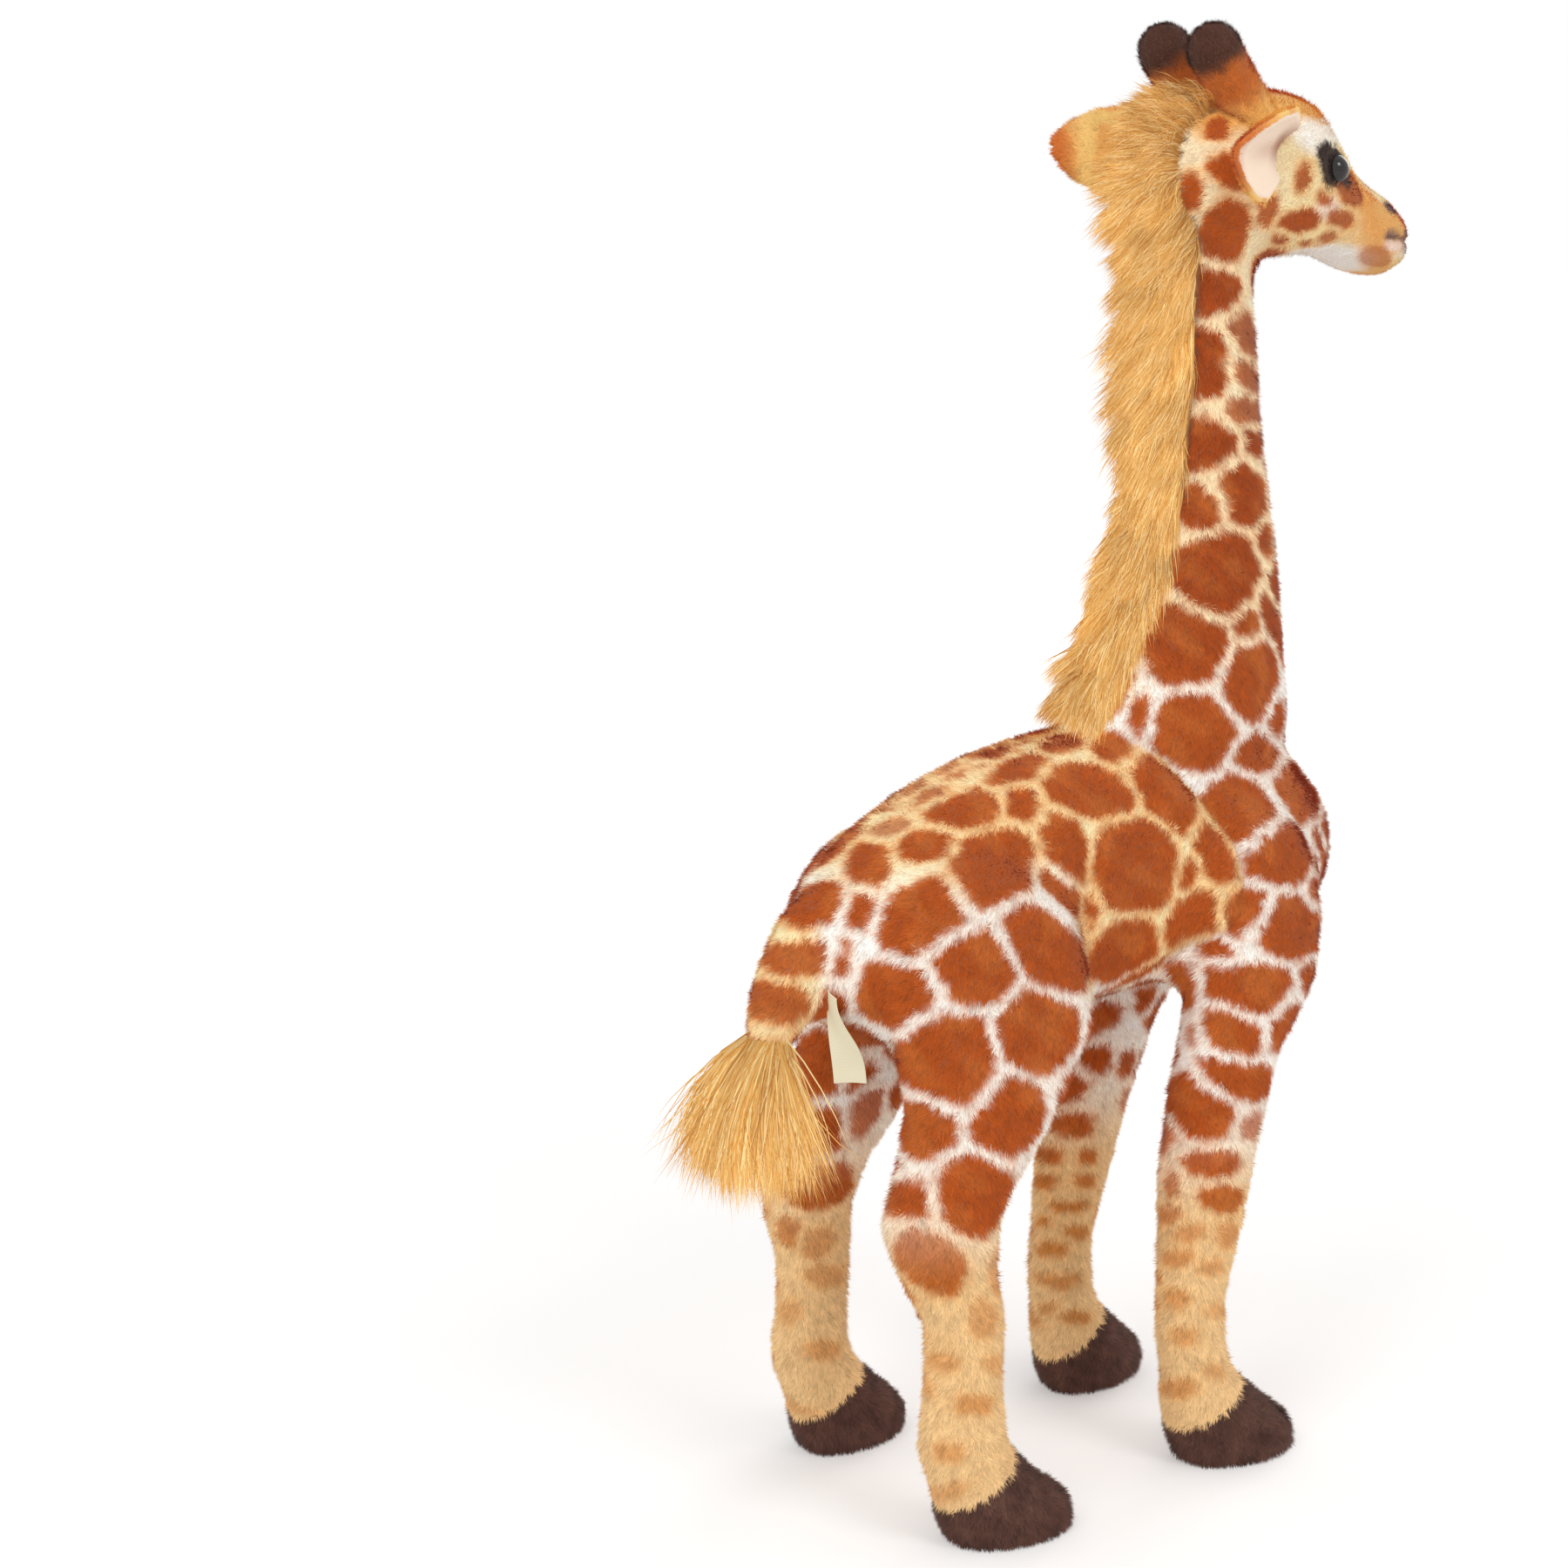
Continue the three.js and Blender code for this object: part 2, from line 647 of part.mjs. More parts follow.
// Head skin, chin, filling and the mane on the back of the skull, whose shares are along, up and half its width
const crestShares = [
  [0.36, 0.98, 0.2],
  [0.23, 0.96, 0.26],
  [0.12, 0.9, 0.5],
  [0.03, 0.8, 0.8],
  [0, 0.64, 1],
  [0, 0.46, 1],
  [0.02, 0.3, 0.8],
];

function addHead() {
  const tipY = skullY - headLength;
  const chin = (grow) => block(
    vector(-headHalf - overrun, tipY - overrun, jawHeight - overrun),
    vector(headHalf + overrun, tipY + mouthLength + grow, jawHeight + mouthHeight + grow),
  );
  const hollow = solidOf(loft(headRings, headSides / 2, -plush));
  let shell = solidOf(loft(headRings, headSides)).subtract(hollow).subtract(socket);
  let core = solidOf(loft(headRings, headSides / 2, -plush - clearance)).subtract(socket);
  for (const [side, name] of [[-1, "right"], [1, "left"]]) {
    const room = eyeSolids(side, clearance);
    shell = shell.subtract(room.eye).subtract(room.washer);
    core = core.subtract(room.eye).subtract(room.washer);
    const { eye, washer } = eyeSolids(side, 0);
    addPiece("eye_" + name, eye, blackGloss);
    addPiece("eye_" + name + "_washer", washer, washerPlastic);
  }
  addPiece("head_skin", shell.subtract(chin(clearance)), patchedPlush);
  addPiece("chin_skin", shell.intersect(chin(0)), creamPlush);
  addPiece("head_filling", core, fibre);
  const path = crestShares.map(([along, up]) =>
    vector(0, skullY - headLength * along, jawHeight + headHeight * up),
  );
  const rings = pathRings(path, crestShares.map(() => crestHalfDepth));
  rings.forEach((r, i) => {
    r.wide = maneHalf * crestShares[i][2];
  });
  let crest = solidOf(loft(rings, tailSides)).subtract(solidOf(headCutter)).subtract(socket);
  for (const side of [-1, 1]) crest = crest.subtract(solidOf(hornForm(side, clearance)));
  addPiece("head_mane", crest, maneFur);
}

// Legs. Rings as shares: height, out from the foot's place to the hip's, setback from the foot's place, and the
// half width and half depth
const frontLeg = {
  pair: "front", top: bellyHeight + frontLegRise, wide: frontLegWide, deep: frontLegDeep,
  footOut: frontFootOut, footY: rumpY - frontFootFromRump,
  hipOut: frontHipOut, hipHeight: bellyHeight + frontHipRise, hipShare: -0.68,
  from: -legForward, to: legInward,
  shares: [
    [1, 0.98, -0.67, 0.4, 0.3],
    [0.96, 0.9, -0.67, 0.86, 0.66],
    [0.885, 0.86, -0.7, 0.94, 0.94],
    [0.81, 0.78, -0.7, 1, 1],
    [0.73, 0.65, -0.58, 1, 0.93],
    [0.625, 0.48, -0.27, 0.93, 0.81],
    [0.465, 0.3, 0.12, 0.86, 0.79],
    [0.37, 0.2, 0.27, 0.79, 0.7],
    [0.26, 0.11, 0.45, 0.72, 0.56],
    [0.15, 0.04, 0.48, 0.79, 0.56],
  ],
};
const rearLeg = {
  pair: "rear", top: bellyHeight + rearLegRise, wide: rearLegWide, deep: rearLegDeep,
  footOut: rearFootOut, footY: rumpY - rearFootFromRump,
  hipOut: rearHipOut, hipHeight: bellyHeight + rearHipRise, hipShare: -0.15,
  from: -legInward, to: legForward,
  shares: [
    [1, 1, -0.04, 0.4, 0.26],
    [0.96, 0.88, -0.07, 0.86, 0.56],
    [0.89, 0.81, -0.11, 0.96, 0.86],
    [0.8, 0.77, -0.167, 1, 1],
    [0.72, 0.69, -0.2, 1, 0.91],
    [0.645, 0.58, -0.11, 0.98, 0.75],
    [0.555, 0.46, 0.13, 0.95, 0.63],
    [0.475, 0.37, 0.35, 0.9, 0.56],
    [0.4, 0.27, 0.378, 0.83, 0.45],
    [0.32, 0.18, 0.3, 0.77, 0.375],
    [0.235, 0.11, 0.304, 0.79, 0.367],
    [0.15, 0.04, 0.333, 0.85, 0.41],
  ],
};

// Foot rings as shares: height, setback, half width and half depth
const footShares = [
  [0.68, 0.31, 0.88, 0.76],
  [0.41, 0.12, 0.98, 0.95],
  [0.18, 0.03, 1, 1],
];
const soleShare = 0.86;
const footFullness = 2;
const hipFullness = 2.8;
const hipFromShare = 0.45;
const hipToShare = 0.75;

function legRings(leg, side) {
  const rings = leg.shares.map(([up, out, setback, wide, deep]) => {
    const turn = radians(toeOut * (1 - up));
    const across = vector(Math.cos(turn), side * Math.sin(turn), 0);
    const lengthwise = vector(-side * Math.sin(turn), Math.cos(turn), 0);
    const middle = vector(side * mix(leg.footOut, leg.hipOut, out), leg.footY, leg.top * up);
    middle.addScaledVector(lengthwise, leg.deep * setback);
    const rise = THREE.MathUtils.smoothstep(up, hipFromShare, hipToShare);
    const fullness = mix(footFullness, hipFullness, rise);
    return ring(middle, leg.wide * wide, leg.deep * deep, across, lengthwise, fullness);
  });
  const turn = radians(toeOut);
  const across = vector(Math.cos(turn), side * Math.sin(turn), 0);
  const lengthwise = vector(-side * Math.sin(turn), Math.cos(turn), 0);
  footShares.forEach(([up, setback, wide, deep]) => {
    const middle = vector(side * leg.footOut, leg.footY, footHeight * up);
    middle.addScaledVector(lengthwise, footDeep * setback);
    rings.push(ring(middle, footWide * wide, footDeep * deep, across, lengthwise));
  });
  const sole = vector(side * leg.footOut, leg.footY, -soleFlat);
  rings.push(ring(sole, footWide * soleShare, footDeep * soleShare, across, lengthwise));
  return rings;
}

function addLeg(leg, side, name) {
  const rings = legRings(leg, side);
  const pivot = vector(0, leg.footY + leg.deep * leg.hipShare, leg.hipHeight);
  const room = swept(legTorsoCutter, pivot, axisX, [leg.from, 0, leg.to]);
  const reach = leg.footOut + leg.deep + footDeep;
  const seam = vector(0, leg.footY + hoofSeamSetback, hoofSeamHeight);
  const lower = (grow) => block(
    vector(-reach, leg.footY - reach, -reach),
    vector(reach, leg.footY + reach, hoofSeamHeight + grow),
    -hoofTilt,
    seam,
  );
  const ground = block(vector(-reach, leg.footY - reach, -reach), vector(reach, leg.footY + reach, 0));
  const hollow = solidOf(loft(rings, legSides / 2, -plush));
  const shell = solidOf(loft(rings, legSides)).subtract(hollow).subtract(room).subtract(ground);
  addPiece(leg.pair + "_leg_" + name + "_skin", shell.subtract(lower(clearance / 2)), patchedPlush);
  addPiece(leg.pair + "_hoof_" + name, shell.intersect(lower(-clearance / 2)), hoofPlush);
  const inset = plush + clearance;
  const coarseRoom = swept(coarseTorsoCutter, pivot, axisX, [leg.from, leg.to]);
  const core = solidOf(loft(rings, legSides / 2, -inset)).subtract(coarseRoom);
  const wired = rings.filter((r, i) => i >= 4 && i % 2 === 0 && r.middle.z > 0).map((r) => r.middle);
  const foot = rings[rings.length - 1].middle;
  const { wire, bore } = wireWithBore([...wired, vector(foot.x, foot.y, inset)], inset);
  addPiece(leg.pair + "_leg_" + name + "_filling", core.subtract(bore), fibre);
  addPiece(leg.pair + "_leg_" + name + "_wire", wire, wireSteel);
}

// Tail and tuft. Shares: reach backwards, drop and radius
const tailShares = [
  [0, 0, 0.9],
  [0.29, 0.05, 1],
  [0.55, 0.22, 1.03],
  [0.76, 0.5, 1.02],
  [0.9, 0.74, 0.98],
  [1, 1, 0.92],
];
const tuftShares = [
  [-0.06, -0.06, 0.5],
  [0.15, 0.12, 0.7],
  [0.42, 0.38, 1],
  [0.75, 0.72, 0.96],
  [0.95, 0.93, 0.62],
  [1, 1, 0.25],
];

function tail(grow, open = false, sides = tailSides) {
  const path = tailShares.map(([back, down]) =>
    vector(0, tailRootY + tailReach * back, tailRootHeight - tailDrop * down),
  );
  const radii = tailShares.map(([, , share]) => tailRadius * share);
  return loft(pathRings(path, radii), sides, grow, open);
}

function addTail() {
  const pivot = vector(0, tailRootY + tailRadius, tailRootHeight);
  const room = swept(torsoCutter, pivot, axisY, [-tailSwing, 0, tailSwing]);
  const hollow = solidOf(tail(-plush, true, tailSides / 2));
  addPiece("tail_skin", solidOf(tail(0)).subtract(hollow).subtract(room), patchedPlush);
  const coarseRoom = swept(coarseTorsoCutter, pivot, axisY, [-tailSwing, tailSwing]);
  const core = solidOf(tail(-plush - clearance, false, tailSides / 2));
  addPiece("tail_filling", core.subtract(coarseRoom), fibre);
  const [endY, endZ] = [tailRootY + tailReach, tailRootHeight - tailDrop];
  const path = tuftShares.map(([back, down]) => vector(0, endY + tuftReach * back, endZ - tuftLength * down));
  const tuft = solidOf(loft(pathRings(path, tuftShares.map(([, , share]) => tuftRadius * share)), tailSides));
  addPiece("tail_tuft", tuft.subtract(solidOf(tail(clearance))), maneFur);
}

addTorso();
addLabel();
addNeck();
addHead();
for (const [side, name] of [[-1, "right"], [1, "left"]]) {
  addHorn(side, name);
  addEar(side, name);
  addLeg(frontLeg, side, name);
  addLeg(rearLeg, side, name);
}
addTail();

// The origin is under the middle of the giraffe, on the ground
const bounds = new THREE.Box3().setFromObject(giraffe);
const middle = bounds.getCenter(vector(0, 0, 0));
for (const mesh of giraffe.children) mesh.position.set(-middle.x, -middle.y, -bounds.min.z);

export default giraffe;
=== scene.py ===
# %% [markdown]
# # A standing plush giraffe
# The toy is sewn from printed plush, stuffed with fibre and stiffened with wires. This lesson dresses its packed
# CAD frame: first the camera, the floor and the light, then the skins, the printed pattern, the pile that stands on
# the skins, and last the long fur, the ears, the eyes and the label.

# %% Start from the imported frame
import math

import bpy
import numpy as np
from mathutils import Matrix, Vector
from mathutils.bvhtree import BVHTree


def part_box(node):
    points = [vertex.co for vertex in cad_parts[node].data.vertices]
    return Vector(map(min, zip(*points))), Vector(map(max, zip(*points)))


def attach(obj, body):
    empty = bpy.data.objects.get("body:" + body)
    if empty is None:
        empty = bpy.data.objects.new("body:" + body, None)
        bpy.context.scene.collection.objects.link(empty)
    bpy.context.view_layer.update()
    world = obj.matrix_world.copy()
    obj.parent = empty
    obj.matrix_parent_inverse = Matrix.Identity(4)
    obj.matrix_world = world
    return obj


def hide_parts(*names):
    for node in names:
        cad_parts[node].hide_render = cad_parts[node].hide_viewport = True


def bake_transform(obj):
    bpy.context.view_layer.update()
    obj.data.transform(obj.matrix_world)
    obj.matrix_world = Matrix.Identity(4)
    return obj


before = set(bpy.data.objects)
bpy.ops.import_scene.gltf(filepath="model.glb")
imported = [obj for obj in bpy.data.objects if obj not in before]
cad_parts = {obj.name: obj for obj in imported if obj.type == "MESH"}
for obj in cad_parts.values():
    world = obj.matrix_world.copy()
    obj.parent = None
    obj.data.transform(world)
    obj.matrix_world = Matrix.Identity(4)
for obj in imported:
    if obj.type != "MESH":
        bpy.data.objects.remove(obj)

scene = bpy.context.scene
bpy.context.view_layer.update()

# %% [markdown]
# ## Camera
# The picture was taken from behind the giraffe's right hip, a little above its back. The camera looks at the middle
# of the body, and a sideways shift puts the toy to the right of the frame as in the picture, because turning the
# camera instead would change the perspective.

# %% Camera
PHOTO = 1800
aim = Vector((0, 0.013, 0.312))
camera_data = bpy.data.cameras.new("photo_camera")
camera_data.sensor_width, camera_data.lens, camera_data.shift_x = 36, 73.7, -0.1556
camera = bpy.data.objects.new("photo_camera", camera_data)
scene.collection.objects.link(camera)
scene.camera = camera
camera.location = (-1.110, 0.813, 0.608)
camera.rotation_euler = (aim - camera.location).to_track_quat("-Z", "Y").to_euler()
focal = camera_data.lens / camera_data.sensor_width * PHOTO
camera_turn = np.array(camera.rotation_euler.to_matrix())
camera_place = np.array(camera.location)
print("camera", tuple(round(v, 3) for v in camera.location), "focal length in picture points", round(focal))

# %% [markdown]
# ## Paint helpers
# Every finish, of plush, plastic or steel, is a small tree of nodes. It could be joined by hand in the shader editor,
# but in a script that soon gets long. So one class wraps a socket, and sums on it are written as in Python, and one
# method makes any other node: its settings first, then its sockets.

# %% Paint helpers
class Line:
    """A value that a node puts out, on which sums are written as in Python."""

    def __init__(self, tree, socket):
        self.tree, self.socket = tree, socket

    def sum_with(self, operation, other):
        return self.tree.make("ShaderNodeMath", {"operation": operation}, {0: self, 1: other})[0]

    def __add__(self, other):
        return self.sum_with("ADD", other)

    def __mul__(self, other):
        return self.sum_with("MULTIPLY", other)

    __radd__, __rmul__ = __add__, __mul__


class Tree:
    """The nodes of a finish or of the air, and the one way to add to them."""

    def __init__(self, tree):
        self.nodes, self.links = tree.nodes, tree.links

    def make(self, kind, settings=None, sockets=None):
        """The lines that come out of a new node: its settings are set first, and then its sockets."""
        node = self.nodes.new(kind)
        for name, value in (settings or {}).items():
            setattr(node, name, value)
        for name, value in (sockets or {}).items():
            self.join(node.inputs[name], value)
        return [Line(self, socket) for socket in node.outputs]

    def join(self, socket, value):
        if isinstance(value, Line):
            self.links.new(value.socket, socket)
        else:
            socket.default_value = value


class Finish(Tree):
    """A material and the nodes that make it."""

    def __init__(self, name, **surface):
        self.material = bpy.data.materials.new(name)
        self.material.use_nodes = True
        super().__init__(self.material.node_tree)
        self.surface = self.nodes["Principled BSDF"]
        for socket, value in surface.items():
            self.surface.inputs[socket.replace("_", " ")].default_value = value

    def feed(self, socket, value):
        self.join(self.surface.inputs[socket], value)

    def tint(self, colour, other, share, kind="MIX"):
        mixed = {"data_type": "RGBA", "blend_type": kind}
        return self.make("ShaderNodeMix", mixed, {0: share, 6: colour, 7: other})[2]

    def place(self):
        return self.make("ShaderNodeTexCoord")[3]

    def noise(self, scale, detail=3.0):
        return self.make("ShaderNodeTexNoise", {}, {"Vector": self.place(), "Scale": scale, "Detail": detail})[0]

    def told(self, name, colour=False):
        """What keep_values wrote on the piece's points under a name."""
        return self.make("ShaderNodeAttribute", {"attribute_name": name})[0 if colour else 2]

    def cloud(self, colour, other, scale):
        """Two near colours in soft clouds, so that no surface is one flat colour."""
        self.feed("Base Color", self.tint(colour, other, self.noise(scale)))

    def bump(self, height, strength, distance):
        made = self.make("ShaderNodeBump", {}, {"Height": height, "Strength": strength, "Distance": distance})
        self.feed("Normal", made[0])


def dye(red, green, blue):
    """A colour as a picture shows it, 0 to 255, made linear for the nodes."""
    return tuple(((c / 255 + 0.055) / 1.055) ** 2.4 if c > 10 else c / 255 / 12.92 for c in (red, green, blue))


print("paint helpers are ready")

# %% [markdown]
# ## Number helpers
# The toy's pieces have hundreds of thousands of points, far too many for a loop that takes them one by one. Each step
# works on all points of a mesh at once, as rows of a table. These few helpers read and write such tables, ease a value
# from 0 to 1, and make a soft random wave.

# %% Number helpers
def values(data, name, width=1, kind=np.float32):
    found = np.empty(len(data) * width, kind)
    data.foreach_get(name, found)
    return found.reshape(-1, width) if width > 1 else found


def points_of(piece):
    return values(piece.data.vertices, "co", 3).astype(float)


def facings_of(piece):
    return values(piece.data.vertices, "normal", 3).astype(float)


def set_points(piece, points):
    piece.data.vertices.foreach_set("co", points.astype(np.float32).ravel())
    piece.data.update()


def unit(vectors):
    return vectors / np.maximum(np.linalg.norm(vectors, axis=-1, keepdims=True), 1e-12)


def smooth(low, high, found):
    """A value eased from 0 at low to 1 at high, level at both ends. Low may be the greater of the two."""
    share = np.clip((found - low) / (high - low), 0, 1)
    return share * share * (3 - 2 * share)


def ripple(points, wave, seed):
    """A soft random wave from about -1 to 1, its bumps about as wide as the wave is long."""
    draw = np.random.default_rng(seed)
    total = np.zeros(len(points))
    for _ in range(7):
        way = unit(draw.normal(size=3)) * draw.uniform(0.7, 1.6)
        total += np.sin(points @ way * (2 * math.pi / wave) + draw.uniform(0, 2 * math.pi))
    return total / 3.2


def hump(found, middle, width):
    """1 at the middle, falling softly to 0 on both sides."""
    return np.exp(-(((found - middle) / width) ** 2))


def off_curve(points, curve):
    """How far points are, seen from the side, from a line of straight runs given as places along Y and up Z."""
    flat, curve = points[:, 1:3], np.array(curve)
    nearest = np.full(len(points), 1.0)
    for start, end in zip(curve[:-1], curve[1:]):
        run = end - start
        share = np.clip(((flat - start) @ run) / (run @ run), 0, 1)
        nearest = np.minimum(nearest, np.linalg.norm(flat - start - share[:, None] * run, axis=1))
    return nearest


print("number helpers are ready")

# %% [markdown]
# ## Floor, backdrop and light
# The toy stands on a white paper sweep under large soft lamps. More lamps would turn the paper white but would bleach
# the plush as well. So the floor has a little light of its own that only the camera and reflections see, which brings
# it to white and leaves the soft shadow under the hooves.

# %% Floor and light
def unselect():
    if bpy.context.object and bpy.context.object.mode != "OBJECT":
        bpy.ops.object.mode_set(mode="OBJECT")
    bpy.ops.object.select_all(action="DESELECT")


NEAR_TOY, OFF_TOY = 0.45, 2.2


def white_to_camera(finish, near, far):
    """Light of its own that only the camera and reflections see: little round the toy and more far away."""
    camera_ray, _, _, glossy_ray, _, _, transmitted_ray = finish.make("ShaderNodeLightPath")[:7]
    away = finish.make("ShaderNodeVectorMath", {"operation": "LENGTH"}, {0: finish.place()})[1]
    eased = {"interpolation_type": "SMOOTHSTEP"}
    share = finish.make("ShaderNodeMapRange", eased, {0: away, 1: NEAR_TOY, 2: OFF_TOY, 3: near, 4: far})[0]
    seen = (camera_ray + glossy_ray + transmitted_ray) * share
    finish.feed("Emission Color", finish.tint((0, 0, 0, 1), (1, 1, 1, 1), seen))
    finish.feed("Emission Strength", 1.0)


unselect()
bpy.ops.mesh.primitive_plane_add(size=14, location=(0, 0, 0))
floor = bpy.context.object
floor.name = "studio_floor"
sweep = Finish("white_sweep", Base_Color=(0.86, 0.85, 0.84, 1), Roughness=0.95, Specular_IOR_Level=0.1)
white_to_camera(sweep, near=0.14, far=0.36)
floor.data.materials.append(sweep.material)

world = bpy.data.worlds.new("studio_air")
scene.world = world
world.use_nodes = True
air = Tree(world.node_tree)
rays = air.make("ShaderNodeLightPath")
either = air.make("ShaderNodeMath", {"operation": "MAXIMUM"}, {0: rays[0], 1: rays[3]})[0]
seen = air.make("ShaderNodeMath", {"operation": "MAXIMUM"}, {0: either, 1: rays[6]})[0]
strength = air.make("ShaderNodeMapRange", {}, {0: seen, 3: 0.8, 4: 1.0})[0]
air.join(air.nodes["Background"].inputs["Strength"], strength)
air.join(air.nodes["Background"].inputs["Color"], (1, 1, 1, 1))


def softbox(name, place, power, size):
    light = bpy.data.lights.new(name, "AREA")
    light.energy, light.size = power, size
    lamp = bpy.data.objects.new(name, light)
    scene.collection.objects.link(lamp)
    lamp.location = place
    lamp.rotation_euler = (Vector((0, 0, 0.3)) - Vector(place)).to_track_quat("-Z", "Y").to_euler()


softbox("key_softbox", (-0.7, 1.7, 1.9), 15, 1.2)
softbox("fill_softbox", (-1.7, -0.3, 1.9), 11, 0.75)
softbox("front_softbox", (0.8, -1.8, 1.2), 7, 1.2)
scene.view_settings.view_transform = "Standard"

# %% [markdown]
# ## Skins
# On the real toy the cloth skins are sewn panel by panel and pulled tight by the stuffing, so that one rounded form
# runs on into the next. Here copies of the CAD skins and fillings are joined and remeshed into one closed form,
# which is grown and shrunk again so that the hollows between neck, chest and legs fill as stuffed cloth does. It
# ends a little inside the CAD form, because the pile still has to stand on it.

# %% Copies of CAD pieces
def pick(piece):
    unselect()
    piece.select_set(True)
    bpy.context.view_layer.objects.active = piece


def merged_copy(name, *nodes):
    """One new piece from copies of CAD nodes, with their loose triangles merged."""
    copies = []
    for node in nodes:
        copy = bpy.data.objects.new(name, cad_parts[node].data.copy())
        scene.collection.objects.link(copy)
        copies.append(copy)
    pick(copies[0])
    for copy in copies:
        copy.select_set(True)
    if len(copies) > 1:
        bpy.ops.object.join()
    piece = bpy.context.object
    piece.name = piece.data.name = name
    piece.data.materials.clear()
    bpy.ops.object.mode_set(mode="EDIT")
    bpy.ops.mesh.select_all(action="SELECT")
    bpy.ops.mesh.remove_doubles(threshold=0.00001)
    bpy.ops.object.mode_set(mode="OBJECT")
    return piece


def worked(piece, kind, **settings):
    """One modifier with its settings, applied to a piece."""
    pick(piece)
    tool = piece.modifiers.new(kind.lower(), kind)
    for name, value in settings.items():
        setattr(tool, name, value)
    bpy.ops.object.modifier_apply(modifier=tool.name)


def stuffed(piece, voxel, swell, inset, rounds=8):
    """The piece as one closed form: grown by swell, then shrunk by swell and inset, and smoothed."""
    worked(piece, "REMESH", mode="VOXEL", voxel_size=voxel)
    if swell:
        worked(piece, "DISPLACE", strength=swell, mid_level=0)
        worked(piece, "REMESH", mode="VOXEL", voxel_size=voxel)
    worked(piece, "SMOOTH", factor=0.5, iterations=3)
    worked(piece, "DISPLACE", strength=-swell - inset, mid_level=0)
    worked(piece, "REMESH", mode="VOXEL", voxel_size=voxel)
    worked(piece, "SMOOTH", factor=0.5, iterations=rounds)
    return piece


SIDES = {"right": -1, "left": 1}
LEGS = [pair + "_leg_" + side for pair in ("front", "rear") for side in SIDES]
head_nodes = ["head_skin", "chin_skin", "head_filling", "neck_skin", "neck_filling"]
body_nodes = ["torso_back_skin", "torso_chest_skin", "torso_belly_skin", "torso_filling", "tail_skin", "tail_filling"]
body_nodes += head_nodes
for leg in LEGS:
    body_nodes += [leg + "_skin", leg + "_filling", leg.replace("leg", "hoof")]
body = stuffed(merged_copy("body_form", *body_nodes), 0.0026, 0.0045, 0.0028)
skull = stuffed(merged_copy("head_form", *head_nodes), 0.0015, 0.0060, 0.0004, 6)
print("body form", len(body.data.polygons), "faces, head form", len(skull.data.polygons), "faces")

# %% [markdown]
# ## Seams
# The cloth is sewn along a few lines that show: the shoulder seam between chest and back, the fold of the flank, and
# the seam where the head is sewn on. They could be marked as edges of the mesh, but form and colour both need them
# later, so each is a short row of points, or a plane, that any point can be measured against.

# %% Seams
SHOULDER_SEAM = [(-0.017, 0.337), (-0.040, 0.323), (-0.058, 0.302), (-0.069, 0.283), (-0.071, 0.266),
    (-0.064, 0.248), (-0.042, 0.231)]
FLANK_FOLD = [(0.008, 0.282), (0.0125, 0.262), (0.0125, 0.240), (0.006, 0.217)]


def behind_shoulder(points):
    """0 on the chest's cloth and 1 on the back's cloth, which meet at the shoulder seam."""
    seam = np.array(SHOULDER_SEAM)[::-1]
    return smooth(-0.0012, 0.0012, points[:, 1] - np.interp(points[:, 2], seam[:, 1], seam[:, 0]))


HEAD_CUT, HEAD_CUT_WAY = np.array([0, -0.082, 0.526]), np.array([0, -0.6, 0.8])


def past_throat(points):
    """How far points are on the head's side of the cut between head and neck."""
    return (points - HEAD_CUT) @ HEAD_CUT_WAY


print("seams are drawn")

# %% [markdown]
# ## Stuffing
# A seam pulls the cloth in, and stuffing pushes it out beside the seam. The points of the forms are moved in code by
# a few millimetres: in along the shoulder seam, the fold of the flank and the seams of the muzzle, and out over
# chest, hocks and toes. A smooth push along a curve needs neither a brush nor a finer cage.

# %% Stuffing of body and head
THROAT_OUT = 0.0030


def on_throat(height, normals):
    """1 on the front of the neck, between chest and jaw, and 0 elsewhere."""
    return smooth(0.300, 0.340, height) * (1 - smooth(0.50, 0.53, height)) * smooth(0.2, 0.8, -normals[:, 1])


def body_shift(points, normals):
    """How far each point of the body is pulled in by a seam or pushed out by stuffing."""
    across, along, height = points.T
    side = smooth(0.016, 0.030, np.abs(across))
    seam, fold = off_curve(points, SHOULDER_SEAM), off_curve(points, FLANK_FOLD)
    push = side * (-0.0030 * hump(seam, 0, 0.0036) + 0.0016 * hump(seam, 0.011, 0.006) * behind_shoulder(points))
    push += side * smooth(0.205, 0.215, height) * (-0.0032 * hump(fold, 0, 0.0050)
        + 0.0022 * hump(fold, 0.016, 0.010) * smooth(0.008, 0.014, along))
    shift = normals * push[:, None]
    front = along < 0.0
    mid_leg = smooth(0.030, 0.070, height) * (1 - smooth(0.170, 0.215, height))
    back = np.where(front, 0.0040 * mid_leg, 0)
    hock = 0.0030 * hump(height, 0.150, 0.020) - 0.0026 * hump(height, 0.098, 0.022)
    back += np.where(~front & (across < 0), hock, 0)
    shank = 0.0048 * smooth(0.030, 0.060, height) * (1 - smooth(0.130, 0.175, height))
    back += np.where(~front & (across > 0), shank, 0)
    back -= 0.0032 * (1 - smooth(0.014, 0.040, height))
    shift[:, 1] += back
    shift[:, 1] += 0.0020 * smooth(0.085, 0.115, along) * smooth(0.215, 0.245, height)
    chest = smooth(0.185, 0.215, height) * (1 - smooth(0.275, 0.310, height)) * smooth(0.2, 0.8, -normals[:, 1])
    shift[:, 1] -= 0.0056 * chest * (along < -0.08) + THROAT_OUT * on_throat(height, normals)
    return shift


def oval_distance(points, middle, half):
    """How far points are outside a soft oval; its twin on the other side counts as well."""
    at = np.abs(points) * [1, 0, 0] + points * [0, 1, 1]
    return (np.sqrt((((at - middle) / half) ** 2).sum(1)) - 1) * float(np.prod(half)) ** (1 / 3)


